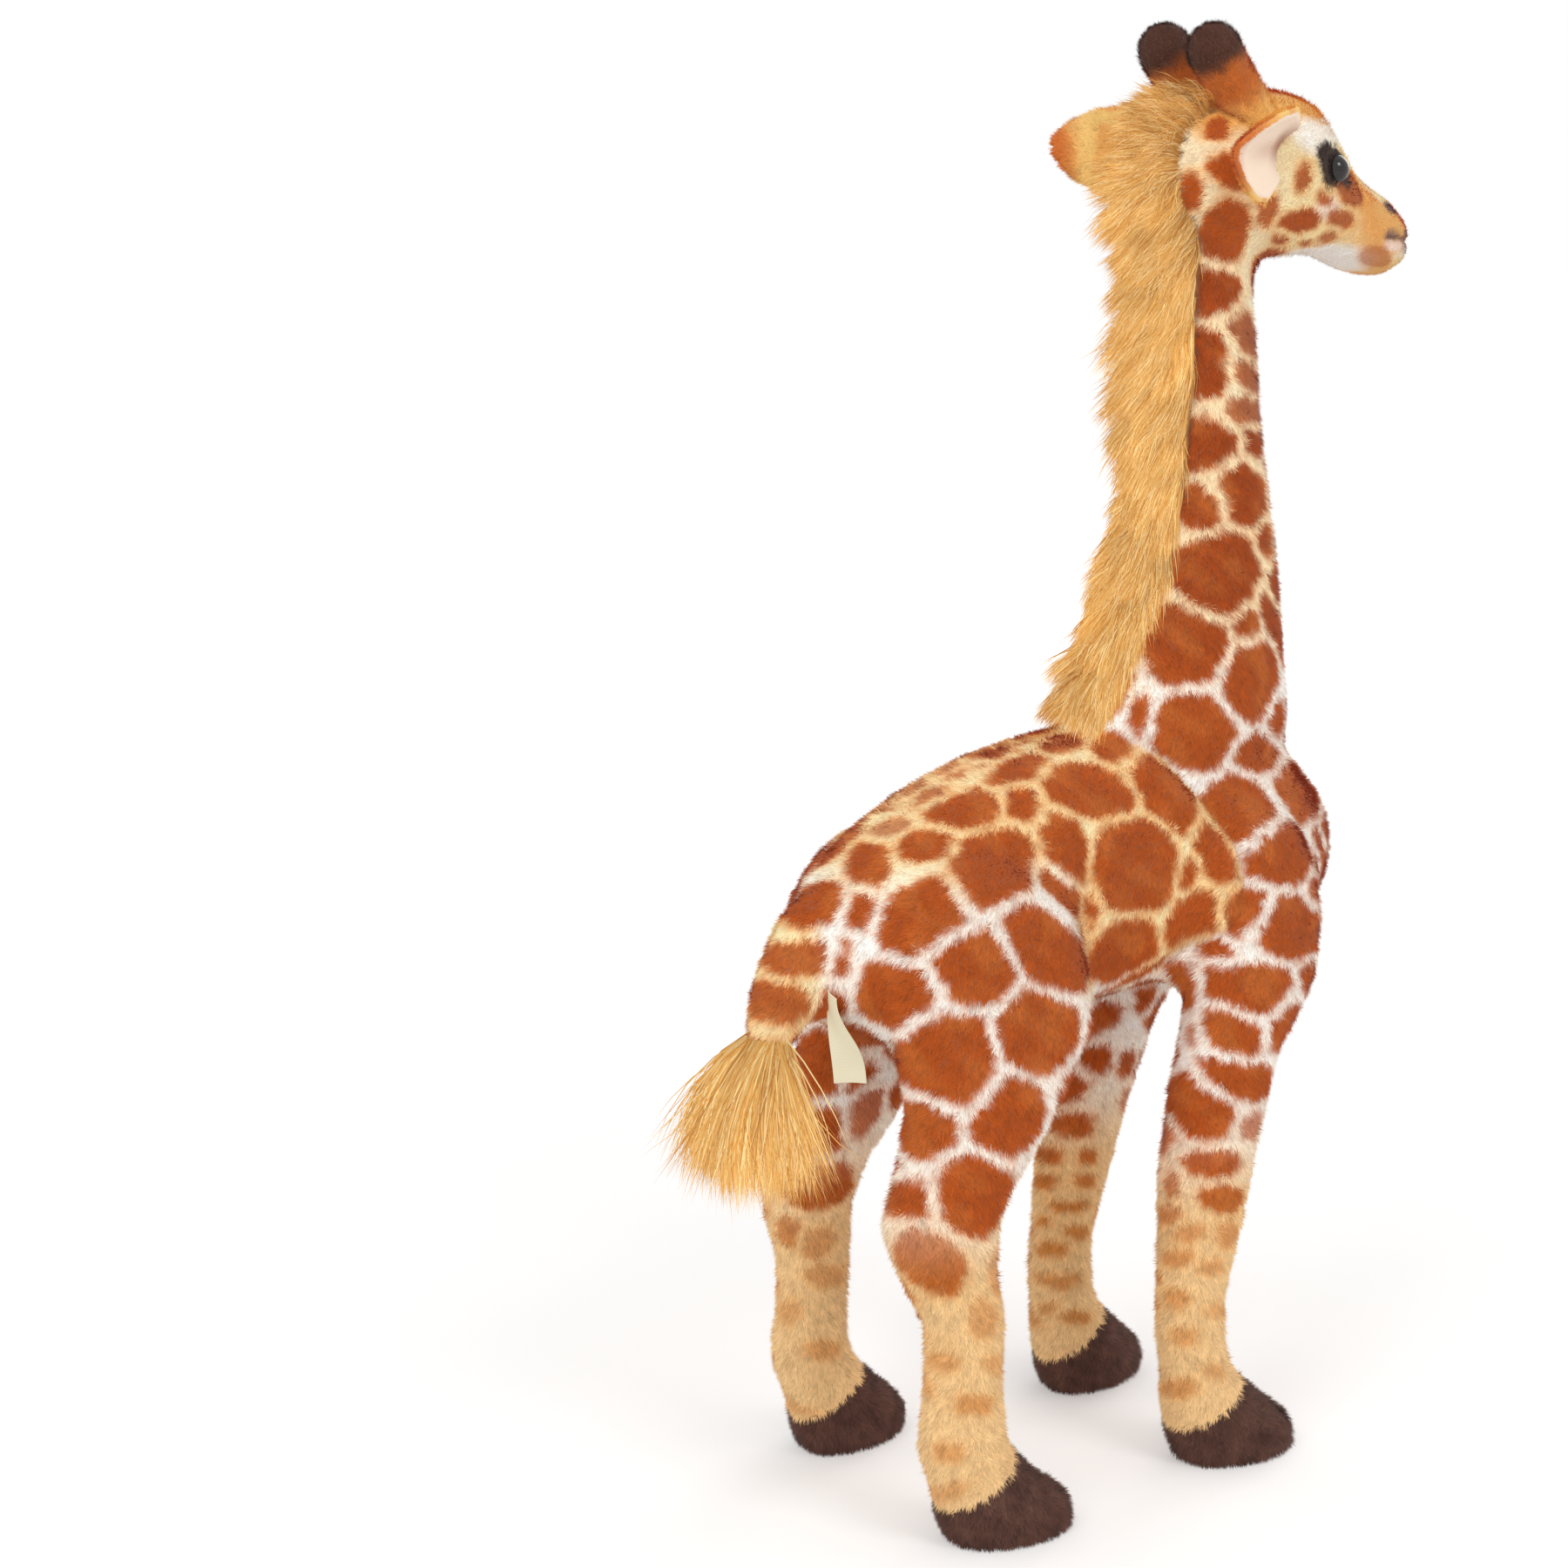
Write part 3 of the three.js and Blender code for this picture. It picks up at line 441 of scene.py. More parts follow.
def head_shift(points, normals):
    """The same for the head: the seam on the nose, nostrils and mouth pressed in, and the form corrected a little."""
    across, along, height = points.T
    shift = np.zeros_like(points)
    shift[:, 1] -= THROAT_OUT * on_throat(height, normals)
    middle = 0.0016 * hump(across, 0.0, 0.0011) * smooth(-0.178, -0.184, along) * smooth(0.5405, 0.543, height)
    nostril = oval_distance(points, np.array([0.0125, -0.187, 0.5560]), np.array([0.0032, 0.0060, 0.0030]))
    dent = 0.0022 * (1 - smooth(-0.0012, 0.0018, nostril))
    mouth = 0.0022 * hump(height, 0.5400 + 5.0 * across**2, 0.0011) * smooth(-0.160, -0.174, along)
    mouth *= smooth(-0.2, 0.2, -normals[:, 1])
    thinner = 0.0024 * (1 - smooth(0.0, 0.022, past_throat(points)))
    middle_part = smooth(0.028, 0.018, np.abs(across))
    shift[:, 1] -= 0.0026 * smooth(-0.150, -0.178, along)
    shift[:, 2] += 0.0022 * smooth(-0.143, -0.163, along) * smooth(0.548, 0.562, height) * middle_part
    shift[:, 2] += 0.0020 * smooth(0.585, 0.600, height) * smooth(-0.088, -0.105, along) * middle_part
    shift[:, 2] -= 0.0018 * smooth(-0.150, -0.170, along) * smooth(0.542, 0.534, height)
    return shift - normals * (middle + dent + mouth + thinner)[:, None]


for piece, shift in ((body, body_shift), (skull, head_shift)):
    points = points_of(piece)
    set_points(piece, points + shift(points, facings_of(piece)))
print("seams pulled in")

# %% [markdown]
# ## Where things are on the toy
# The printed patches are listed, each with its place in the picture. A line of sight from the camera through
# that place meets the form at one point, and there the patch lies in the surface. The same way puts marks on the face.

# %% Lines of sight
def line_of_sight(across, down):
    """The way from the camera through a point of the picture."""
    middle = PHOTO / 2 - camera_data.shift_x * PHOTO
    return camera_turn @ unit(np.array([(across - middle) / focal, (PHOTO / 2 - down) / focal, -1.0]))


def seen_at(form, across, down):
    """The place where a line of sight meets a form, and the way that its surface faces there."""
    place, facing, _, _ = form.ray_cast(camera.location, Vector(line_of_sight(across, down)))
    return None if place is None else (np.array(place), np.array(facing))


def tree_of(piece):
    return BVHTree.FromObject(piece, bpy.context.evaluated_depsgraph_get())


body_tree, head_tree = tree_of(body), tree_of(skull)
print("the flank's patch at 1283, 900 lies at", seen_at(body_tree, 1283, 900)[0].round(3))

# %% [markdown]
# ## The printed patches
# A giraffe's coat is printed on the plush as rust patches between pale lines. Each row holds a patch's place in the
# picture, half its length and half its width in picture points, the turn of its length in degrees, and how strongly
# it is dyed. The far side of the toy gets the mirror image where nothing is seen of it.

# %% Patches seen in the picture
TORSO_PATCHES = [
    (1306, 991, 50, 45, 90, 1), (1250, 904, 51, 26, -10, 1), (1338, 908, 50, 24, -48, 1),
    (1280, 858, 23, 15, -10, 1), (1226, 973, 40, 22, -65, 1), (1222, 1021, 32, 14, -48, 1),
    (1143, 991, 43, 36, 5, 1), (1107, 926, 36, 19, 0, 1), (1070, 912, 28, 9, 12, 0.8), (1177, 924, 18, 20, 0, 1),
    (1064, 969, 26, 16, 0, 1), (1168, 882, 30, 13, 12, 1), (1155, 857, 27, 10, 20, 1), (1206, 825, 24, 11, 22, 1),
    (1220, 851, 21, 9, 10, 1), (1163, 832, 22, 8, 35, 1), (998, 986, 22, 20, 60, 1), (955, 978, 32, 9, 36, 0.8),
    (1022, 950, 20, 7, 20, 0.7), (1102, 889, 20, 6, 20, 0.8), (1008, 931, 24, 6, 24, 0.7),
    (1290, 1090, 44, 27, 33, 1), (1254, 1046, 20, 9, 90, 1), (1370, 1056, 38, 26, 48, 1),
    (1396, 973, 36, 19, -72, 1), (1305, 1117, 50, 6, 24, 1), (1130, 880, 12, 6, 10, 0.6),
]
THIGH_PATCHES = [
    (1060, 1050, 50, 37, 28, 1), (1120, 1107, 46, 42, 10, 1), (1202, 1088, 60, 34, -42, 1),
    (1020, 1140, 40, 37, -35, 1), (1090, 1216, 54, 54, 0, 1), (1195, 1180, 44, 44, 60, 1),
    (1158, 1280, 44, 37, 55, 1), (1058, 1288, 32, 38, 0, 1), (1122, 1368, 44, 45, -30, 1),
    (1038, 1368, 26, 25, 0, 1), (1070, 1448, 45, 31, -35, 0.75), (968, 1110, 12, 26, 0, 1),
    (1128, 1508, 16, 24, 0, 0.3), (1080, 1560, 20, 14, 0, 0.3), (1118, 1608, 22, 13, 0, 0.35),
    (1090, 1662, 20, 12, 0, 0.3), (1150, 1440, 12, 24, 0, 0.4), (1140, 1560, 12, 12, 0, 0.25),
    (1080, 1710, 22, 9, 0, 0.25),
]
CHEST_PATCHES = [
    (1424, 928, 40, 33, -50, 1), (1377, 834, 42, 43, 60, 1), (1448, 863, 23, 21, 0, 1), (1438, 778, 44, 31, 80, 1),
    (1493, 908, 36, 20, -58, 1), (1476, 980, 34, 34, 0, 1), (1519, 990, 40, 10, 90, 1), (1430, 1042, 30, 22, 40, 1),
    (1487, 1062, 36, 34, -30, 1), (1391, 1086, 20, 12, -10, 1), (1436, 1131, 49, 27, -5, 1),
    (1413, 1180, 38, 23, -35, 1), (1479, 1172, 30, 13, 62, 1), (1366, 1130, 32, 14, 90, 1),
    (1372, 1178, 14, 8, 90, 0.9), (1350, 1192, 24, 10, 90, 1), (1425, 1236, 40, 22, -8, 1),
    (1371, 1264, 44, 29, -42, 1), (1435, 1288, 12, 15, 0, 0.8), (1339, 1305, 20, 10, 90, 0.9),
    (1392, 1332, 34, 15, 0, 0.95), (1405, 1373, 25, 16, 0, 0.9), (1347, 1352, 19, 8, 90, 0.7),
    (1340, 1393, 12, 15, 0, 0.55), (1408, 1412, 14, 16, 0, 0.4), (1362, 1410, 22, 12, 0, 0.4),
    (1352, 1440, 18, 12, 0, 0.4), (1390, 1450, 14, 10, 0, 0.3), (1350, 1488, 16, 12, 0, 0.35),
    (1360, 1530, 16, 11, 0, 0.3), (1398, 1500, 14, 10, 0, 0.25), (1352, 1590, 20, 12, 0, 0.35),
    (1392, 1570, 14, 10, 0, 0.25), (1510, 1108, 20, 8, 80, 0.9),
]
NECK_PATCHES = [
    (1403, 655, 47, 44, 20, 1), (1358, 738, 48, 44, -30, 1), (1309, 816, 21, 10, 90, 1),
    (1464, 716, 42, 13, -72, 1), (1430, 562, 36, 25, -75, 1), (1378, 577, 24, 23, 0, 1),
    (1461, 630, 30, 8, -75, 0.9), (1386, 503, 32, 34, 0, 1), (1381, 415, 38, 24, 90, 1), (1390, 332, 31, 27, 0, 1),
    (1409, 261, 34, 25, 70, 1), (1416, 197, 24, 16, -35, 1), (1372, 218, 20, 11, 90, 1), (1400, 146, 13, 12, 0, 1),
    (1446, 321, 31, 12, 85, 0.9), (1430, 379, 27, 13, -62, 0.9), (1436, 431, 20, 11, -60, 0.9),
    (1431, 471, 22, 16, 0, 0.9), (1446, 530, 10, 6, 0, 0.6),
]
FAR_LEG_PATCHES = [
    (930, 1212, 44, 38, 60, 1), (985, 1224, 18, 20, 0, 1), (937, 1294, 32, 25, 0, 1), (945, 1358, 38, 25, 12, 0.9),
    (993, 1272, 28, 15, 60, 0.9), (905, 1410, 18, 14, 90, 0.5), (958, 1150, 30, 15, 60, 1),
    (950, 1460, 22, 14, 0, 0.3), (905, 1500, 14, 16, 0, 0.25), (945, 1545, 20, 12, 0, 0.3),
    (1262, 1167, 22, 12, 35, 1), (1262, 1211, 17, 15, 0, 1), (1224, 1245, 22, 15, 35, 1),
    (1232, 1287, 26, 15, 0, 1), (1203, 1322, 15, 12, 0, 0.9), (1248, 1323, 12, 10, 0, 0.9),
    (1198, 1352, 14, 10, 0, 0.6), (1246, 1352, 14, 9, 0, 0.6), (1230, 1381, 22, 8, 0, 0.7),
    (1198, 1398, 8, 8, 0, 0.5), (1238, 1411, 16, 9, 0, 0.5), (1208, 1430, 20, 10, 0, 0.5),
    (1216, 1466, 26, 9, 0, 0.4), (1236, 1508, 18, 8, 0, 0.45), (1205, 1498, 12, 8, 0, 0.35),
]
TAIL_PATCHES = [
    (935, 1034, 34, 22, 12, 1), (922, 1098, 34, 17, 5, 0.95), (893, 1150, 36, 22, -12, 0.95),
    (872, 1196, 26, 9, -15, 0.8),
]
SEEN_PATCHES = TORSO_PATCHES + THIGH_PATCHES + CHEST_PATCHES + NECK_PATCHES + FAR_LEG_PATCHES + TAIL_PATCHES
print(len(SEEN_PATCHES), "rows")

# %% [markdown]
# ## Patches laid on the surface
# A painted picture wrapped round the toy would need a map without seams and would blur close up. So a patch is kept as
# a soft-cornered oval in the cloth, with a middle and two half lengths, which can say how far any point is from its
# edge. Its depth keeps it from showing through on the other side of a leg or an ear.

# %% Patches laid on the surface
class Patch:
    """A printed patch: its middle, the ways along and across it with their half sizes, and its strength."""

    def __init__(self, middle, along, across, facing, strength):
        self.middle, self.strength = middle, strength
        self.size = math.sqrt(np.linalg.norm(along) * np.linalg.norm(across))
        depth = 0.9 * max(np.linalg.norm(along), np.linalg.norm(across)) + 0.008
        self.shape = np.column_stack([along, across, facing * depth])
        self.inverse = np.linalg.inv(self.shape)

    def mirrored(self):
        flip = np.diag([-1.0, 1.0, 1.0])
        along, across, facing = (flip @ self.shape).T
        return Patch(flip @ self.middle, along, across, unit(facing), self.strength)

    def distance(self, points):
        """How far points are outside the patch's edge, about in metres, below zero inside it."""
        inside = np.abs((points - self.middle) @ self.inverse.T)
        return ((inside**2.6).sum(1) ** (1 / 2.6) - 1) * self.size


def laid(form, row):
    """The patch of a row of the table, laid flat on a form where the line of sight meets it."""
    across, down, half_long, half_wide, turn, strength = row
    found = seen_at(form, across, down)
    if found is None:
        return None
    middle, facing = found
    reach = np.linalg.norm(middle - camera_place) / focal
    edges = []
    for half, angle in ((half_long, math.radians(turn)), (half_wide, math.radians(turn + 90))):
        way = line_of_sight(across + half * math.cos(angle), down - half * math.sin(angle))
        slope = way @ facing
        step = ((middle - camera_place) @ facing) / slope if slope < -0.2 else np.linalg.norm(middle - camera_place)
        edge = camera_place + way * step - middle
        edge -= facing * (edge @ facing)
        longest = half * reach * 1.9
        edges.append(edge * min(1, longest / max(np.linalg.norm(edge), 1e-9)))
    if abs(np.linalg.det(np.column_stack([unit(edges[0]), unit(edges[1]), facing]))) < 0.25:
        edges[1] = np.cross(facing, unit(edges[0])) * np.linalg.norm(edges[1])
    return Patch(middle, edges[0], edges[1], facing, strength)


def clear_of(patch, others):
    """Whether a patch and its neighbours keep their middles out of each other."""
    near = [other for other in others if np.linalg.norm(other.middle - patch.middle) < 0.06]
    return all(min(other.distance(patch.middle[None])[0], patch.distance(other.middle[None])[0]) > 0.0035
        for other in near)


seen_ones = [patch for patch in (laid(body_tree, row) for row in SEEN_PATCHES) if patch is not None]
patches = list(seen_ones)
for patch in seen_ones:
    twin = patch.mirrored()
    if clear_of(twin, patches):
        patches.append(twin)
print(len(patches), "patches from the picture, mirrored ones among them")

# %% [markdown]
# ## Patches where nothing is seen
# The chest's front, the belly and the flanks between the legs don't show in the picture. They get round patches of
# the toy's usual size: each goes where the surface is furthest from all others, as big as the room there.

# %% Fill the rest of the coat
def patch_room(place):
    """The usual size of a patch at a place on the toy."""
    if place[2] > 0.36:
        return 0.0125
    return 0.0155 if place[2] > 0.16 else 0.011


TRIED, LEAST_ROOM, GROUND_LINE, MOST_ADDED = 9000, 0.0070, 0.0012, 400
places, facings = points_of(body), facings_of(body)
some = np.random.default_rng(5).permutation(len(places))[:TRIED]
some = some[(places[some][:, 2] > 0.075) & (places[some][:, 2] < 0.535)]
free = np.min([patch.distance(places[some]) for patch in patches], axis=0)
seen_count = len(patches)
while free.max() > LEAST_ROOM and len(patches) < seen_count + MOST_ADDED:
    at = some[free.argmax()]
    size = min(patch_room(places[at]), free.max() - GROUND_LINE)
    along = unit(np.cross(facings[at], [1.0, 0.3, 0.1]))
    strength = 0.35 + 0.65 * float(smooth(0.12, 0.17, places[at][2]))
    extra = Patch(places[at], along * size, np.cross(facings[at], along) * size * 0.9, facings[at], strength)
    patches.append(extra)
    free = np.minimum(free, extra.distance(places[some]))
print(len(patches) - seen_count, "patches added where nothing is seen")

# %% [markdown]
# ## Colours of the coat
# The plush is printed in a few colours only: rust and orange for the patches, and grounds from white to tan between
# them, and a lighter rust is laid over the patches as painted sheen. A dye picked anew for every piece would soon
# drift, so they are chosen once and all pieces share them.

# %% Colours of the coat
# The third of the rusts is not printed: it is painted sheen, laid in soft clouds over the patches.
RUST, DEEP_RUST, RUST_SHEEN, ORANGE = dye(176, 80, 24), dye(155, 66, 20), dye(206, 118, 54), dye(238, 160, 74)
WHITE_GROUND, CREAM_GROUND, NECK_GROUND = dye(255, 248, 240), dye(255, 230, 180), dye(253, 230, 190)
TAN_GROUND, TAN_PATCH, UNDER_GROUND = dye(236, 193, 137), dye(200, 127, 58), dye(250, 234, 212)


def blended(colour, other, share):
    return colour + (np.asarray(other) - colour) * share[:, None]


print("the coat's colours are chosen")

# %% [markdown]
# ## Edges of the patches
# The patches nearly touch, with a thin line of ground between them. A painted mask would have to follow every line.
# Here each point is told how far it is from the nearest patch's edge, and the second nearest patch is asked as well,
# so that a line stays open where two patches would run together.

# %% Edges of the patches
THINNEST_LINE = 0.0016


def edge_distance(points, printed, grown):
    """How far points are outside the nearest patch's edge, and its strength. Patches that have grown into each other
    keep a line of ground between them, which makes polygons of them."""
    nearest = np.full(len(points), 1.0)
    second = np.full(len(points), 1.0)
    strength = np.zeros(len(points))
    for patch in printed:
        close = np.linalg.norm(points - patch.middle, axis=1) < patch.size * 2.2 + 0.03
        found = patch.distance(points[close])
        first, next_one = nearest[close], second[close]
        second[close] = np.where(found < first, first, np.minimum(next_one, found))
        strength[close] = np.where(found < first, patch.strength, strength[close])
        nearest[close] = np.minimum(first, found)
    return np.maximum(nearest - grown, THINNEST_LINE - (second - nearest) / 2), strength


middle_edge, middle_strength = edge_distance(patches[0].middle[None], patches, 0)
print("first patch: its middle is", -middle_edge[0].round(4), "m inside the edge, its strength", middle_strength[0])

# %% [markdown]
# ## Strip of the mane
# The mane is sewn on a strip of plain golden cloth down the back of the neck, and a thin dark line of painted shadow
# runs along the seam at its edge. A mesh of its own would have to bend with the neck, so the strip is a colour, and
# the long fur is rooted in it later.

# %% Strip of the mane
MANE_HALF, NECK_CUT = 0.0135, 0.346
# The first colour is painted shade for the body's creases, and the last is painted shadow along the strip's seam.
CREASE_SHADE, STRIP_CLOTH, SEAM_SHADOW = dye(120, 66, 34), dye(206, 148, 76), dye(88, 48, 26)


def mane_strip(points, facing):
    """How far points are inside the strip down the back of the neck where the mane is sewn on."""
    inside = MANE_HALF - np.abs(points[:, 0])
    inside = np.minimum(inside, (points[:, 2] - NECK_CUT) * 0.7)
    return np.where(facing[:, 1] > -0.1, inside, -0.01)


def with_strip(colour, strip):
    """A colour with the golden cloth of the strip and a line of painted shadow along the seam at its edge."""
    colour = blended(colour, STRIP_CLOTH, smooth(-0.0005, 0.0005, strip))
    # Painted shadow: a thin dark line along the seam at the strip's edge.
    return blended(colour, SEAM_SHADOW, 0.9 * hump(strip, -0.0006, 0.0009))


print("the strip of the mane is", 2 * MANE_HALF, "m wide")

# %% [markdown]
# ## Coat of the body
# The ground is cream on the back and neck, white on chest and thighs and tan down the legs. The grounds are laid over
# each other by soft masks, as layers of paint are, and on them the orange fringe of the patches, their rust with
# lighter clouds of painted sheen, and the painted shade that darkens the shoulder seam and the fold of the flank. The
# colours are worked out point by point and kept on the mesh, because the fibres have to take the colour of the cloth
# that they stand on.

# %% Coat of the body
def coat(points, facing):
    """The coat's colour at points of the body."""
    height, along = points[:, 2], points[:, 1]
    edge, strength = edge_distance(points, patches, grown=0.0024 * smooth(0.12, 0.17, height))
    edge = edge + 0.0006 * ripple(points, 0.012, 1) + 0.0003 * ripple(points, 0.004, 2)
    panel = smooth(0.222, 0.236, height) * (1 - smooth(0.010, 0.030, along))
    back = np.maximum(smooth(0.272, 0.298, height), panel) * behind_shoulder(points)
    back *= 1 - smooth(0.355, 0.375, height)
    tail = smooth(0.125, 0.132, along)
    neck = smooth(0.34, 0.39, height)
    low_leg = 1 - smooth(0.085, 0.150, height)
    belly = smooth(0.6, 0.9, -facing[:, 2]) * smooth(0.19, 0.205, height)
    ground = np.tile(np.array(WHITE_GROUND), (len(points), 1))
    ground = blended(ground, CREAM_GROUND, np.maximum(back, tail))
    ground = blended(ground, NECK_GROUND, neck * (1 - 0.8 * smooth(0.45, 0.9, -facing[:, 1])))
    ground = blended(ground, TAN_GROUND, 1 - smooth(0.115, 0.185, height))
    ground = blended(ground, UNDER_GROUND, belly)
    core = np.tile(np.array(RUST), (len(points), 1))
    core = blended(core, DEEP_RUST, np.clip(0.75 * neck + 0.35 * smooth(0.0, 0.008, -edge), 0, 1))
    # Clouds of lighter rust: painted sheen where the fibres catch the light.
    core = blended(core, RUST_SHEEN, 0.34 * smooth(-0.1, 0.9, ripple(points, 0.022, 41)))
    core = blended(core, TAN_PATCH, low_leg * 0.9)
    strength = np.clip(strength * (1 + 0.9 * low_leg), 0, 1)
    fringe = (1 - smooth(-0.0005, 0.0036, edge)) * (0.26 + 0.40 * np.maximum(back, tail) + 0.1 * neck)
    colour = blended(ground, ORANGE, fringe * strength)
    colour = blended(colour, core, (1 - smooth(-0.0014, 0.0007, edge)) * strength)
    # Painted shade: the shoulder seam and the fold of the flank are darkened where the cloth is pulled in.
    crease_shade = 0.35 * hump(off_curve(points, SHOULDER_SEAM), 0, 0.0016)
    crease_shade += 0.3 * hump(off_curve(points, FLANK_FOLD), 0, 0.002)
    crease_shade *= smooth(0.016, 0.030, np.abs(points[:, 0])) * smooth(0.205, 0.215, height)
    return with_strip(blended(colour, CREASE_SHADE, crease_shade), mane_strip(points, facing))


FIELDS = {"FLOAT_COLOR": "color", "FLOAT_VECTOR": "vector", "FLOAT": "value"}


def keep_values(piece, name, found):
    """Values written on a piece's points under a name that its finish reads."""
    kind = "FLOAT" if found.ndim == 1 else "FLOAT_COLOR" if name.endswith("colour") else "FLOAT_VECTOR"
    if kind == "FLOAT_COLOR":
        found = np.column_stack([found, np.ones(len(found))])
    written = piece.data.attributes.new(name, kind, "POINT")
    written.data.foreach_set(FIELDS[kind], np.ascontiguousarray(found, np.float32).ravel())


keep_values(body, "plush_colour", coat(places, facings))
keep_values(body, "facing", facings)
print("coat coloured at", len(places), "points")

# %% [markdown]
# ## Marks of the face
# The face is airbrushed: golden cream with a rust forehead and muzzle, white above the eyes and under the jaw, black
# fur round the eyes and grey nostrils. It could be painted by brush, stroke by stroke, but soft ovals in a table give
# the same airbrushed edges and are easy to change. Some lie in the head's own place, each with its twin on the other
# side, and others are read off the small picture of the face from in front.

# %% Marks of the face
eye_low, eye_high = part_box("eye_left")
eye_place = np.array((eye_low + eye_high) / 2)
print("left eye at", eye_place.round(4))
FACE_MARKS = [
    ((0, -0.168, 0.560), (0.034, 0.032, 0.030), dye(242, 172, 92), 0.007),
    ((0, -0.100, 0.600), (0.032, 0.052, 0.018), dye(238, 178, 98), 0.006),
    ((0, -0.135, 0.604), (0.0145, 0.036, 0.014), dye(208, 114, 44), 0.004),
    ((0.012, -0.178, 0.568), (0.007, 0.008, 0.006), dye(252, 236, 204), 0.003),
    ((0.0245, -0.140, 0.5905), (0.0095, 0.012, 0.0072), dye(255, 252, 248), 0.0025),
    ((0.031, -0.122, 0.590), (0.009, 0.015, 0.009), dye(255, 246, 232), 0.004),
    ((0, -0.190, 0.552), (0.0175, 0.017, 0.0115), dye(204, 108, 42), 0.0035),
    ((0.0165, -0.184, 0.5560), (0.0050, 0.0070, 0.0046), dye(112, 86, 92), 0.0018),
    ((0.018, -0.176, 0.5400), (0.0060, 0.0080, 0.0030), dye(255, 230, 220), 0.0016),
    ((0.018, -0.175, 0.5445), (0.0060, 0.0080, 0.0030), dye(118, 88, 88), 0.0018),
    ((0, -0.183, 0.5350), (0.021, 0.012, 0.0032), dye(254, 236, 204), 0.002),
    ((0, -0.174, 0.5290), (0.018, 0.016, 0.0050), dye(240, 184, 108), 0.004),
    ((0, -0.142, 0.5330), (0.030, 0.028, 0.0100), dye(255, 250, 242), 0.005),
    ((0, -0.110, 0.5290), (0.030, 0.020, 0.0120), dye(254, 240, 216), 0.006),
    ((0.0300, -0.128, 0.5580), (0.010, 0.008, 0.0050), dye(255, 248, 236), 0.003),
]
FRONT_MARKS = [
    (752, 340, 118, 122, 0, dye(214, 124, 52), 22), (715, 395, 92, 60, 0, dye(202, 104, 38), 18),
    (850, 330, 26, 70, 0, dye(234, 168, 88), 16), (740, 512, 150, 44, 0, dye(254, 224, 164), 20),
    (745, 548, 90, 26, 0, dye(226, 166, 96), 20), (600, 570, 26, 56, 0, dye(252, 230, 186), 18),
    (882, 575, 26, 56, 0, dye(252, 230, 186), 18), (740, 735, 148, 92, 0, dye(206, 106, 40), 14),
    (742, 625, 60, 62, 0, dye(206, 108, 42), 16), (574, 720, 28, 80, 0, dye(240, 184, 108), 14),
    (908, 720, 28, 70, 0, dye(240, 184, 108), 14), (634, 634, 38, 30, 0, dye(255, 240, 204), 9),
    (846, 626, 38, 28, 0, dye(255, 240, 204), 9), (608, 678, 25, 22, 0, dye(100, 74, 80), 7),
    (853, 668, 18, 33, 30, dye(100, 74, 80), 7), (735, 870, 112, 26, 0, dye(255, 243, 210), 8),
    (740, 925, 100, 24, 0, dye(240, 182, 100), 12), (800, 836, 76, 20, 16, dye(200, 86, 28), 7),
    (685, 832, 64, 17, -8, dye(92, 66, 72), 7), (608, 812, 22, 16, 0, dye(200, 180, 170), 8),
    (600, 775, 14, 20, 0, dye(140, 104, 90), 7), (888, 742, 14, 26, -15, dye(122, 96, 92), 7),
    (723, 765, 5, 54, 0, dye(116, 50, 22), 4), (757, 668, 42, 5, 32, dye(116, 50, 22), 4),
    (792, 644, 20, 4, -5, dye(116, 50, 22), 4),
]
CHEEK_MARKS = [
    (1457, 241, 18, 11, 80, 0.9), (1495, 253, 22, 11, 10, 1), (1498, 203, 15, 8, 80, 0.9),
    (1471, 275, 8, 6, 0, 0.9), (1504, 278, 9, 5, 0, 0.9), (1524, 273, 12, 6, 20, 0.8), (1525, 226, 10, 8, 0, 0.9),
    (1548, 216, 22, 14, -60, 0.9), (1541, 250, 13, 11, 0, 0.9), (1400, 146, 13, 12, 0, 1),
    (1416, 197, 24, 16, -35, 1), (1580, 296, 16, 12, 0, 0.6),
]
print(len(FACE_MARKS) + len(FRONT_MARKS) + len(CHEEK_MARKS), "marks on the face")

# %% [markdown]
# ## Colours of the head
# The marks are laid over a golden cream, each over the ones before it, and then come the patches of the cheeks, the
# strip of the mane and the black fur round the eyes. Towards the neck the face gives way to the coat of the body, so
# that no edge shows where the two skins meet.

# %% Colours of the head
FRONT_STEP_ACROSS, FRONT_STEP_DOWN, FRONT_MIDDLE, FRONT_TOP = 0.000113, 0.0001317, 745, 0.6211
FRONT_DOWN, FRONT_FACING = np.array([0, -0.112, -0.993]), np.array([0, -0.993, 0.112])


def front_distance(points, across, down, wide, high, turned):
    """How far points are outside an oval drawn on the small front picture of the face, in that picture's points."""
    right = points[:, 0] / FRONT_STEP_ACROSS + FRONT_MIDDLE - across
    below = (FRONT_TOP + points @ FRONT_DOWN) / FRONT_STEP_DOWN - down
    turn = math.radians(turned)
    along, beside = right * math.cos(turn) - below * math.sin(turn), right * math.sin(turn) + below * math.cos(turn)
    return (np.hypot(along / wide, beside / high) - 1) * math.sqrt(wide * high)


def arcs_round(eye_far, apart):
    """Fine lines that run round the eye, from 0 between them to 1 on them."""
    return 0.5 + 0.5 * np.sin(eye_far * 2 * math.pi / apart)


def eye_fur(points):
    """How far points are outside the black fur round the eye: its lid and its outer and inner corners."""
    corners = [((0, 0.002, 0.0005), (0.012, 0.0098, 0.0088)), ((0, 0.0075, 0.0068), (0.012, 0.0050, 0.0054)),
        ((0, -0.0045, -0.0050), (0.012, 0.0040, 0.0030))]
    return np.min([oval_distance(points, eye_place + off, np.array(half)) for off, half in corners], axis=0)


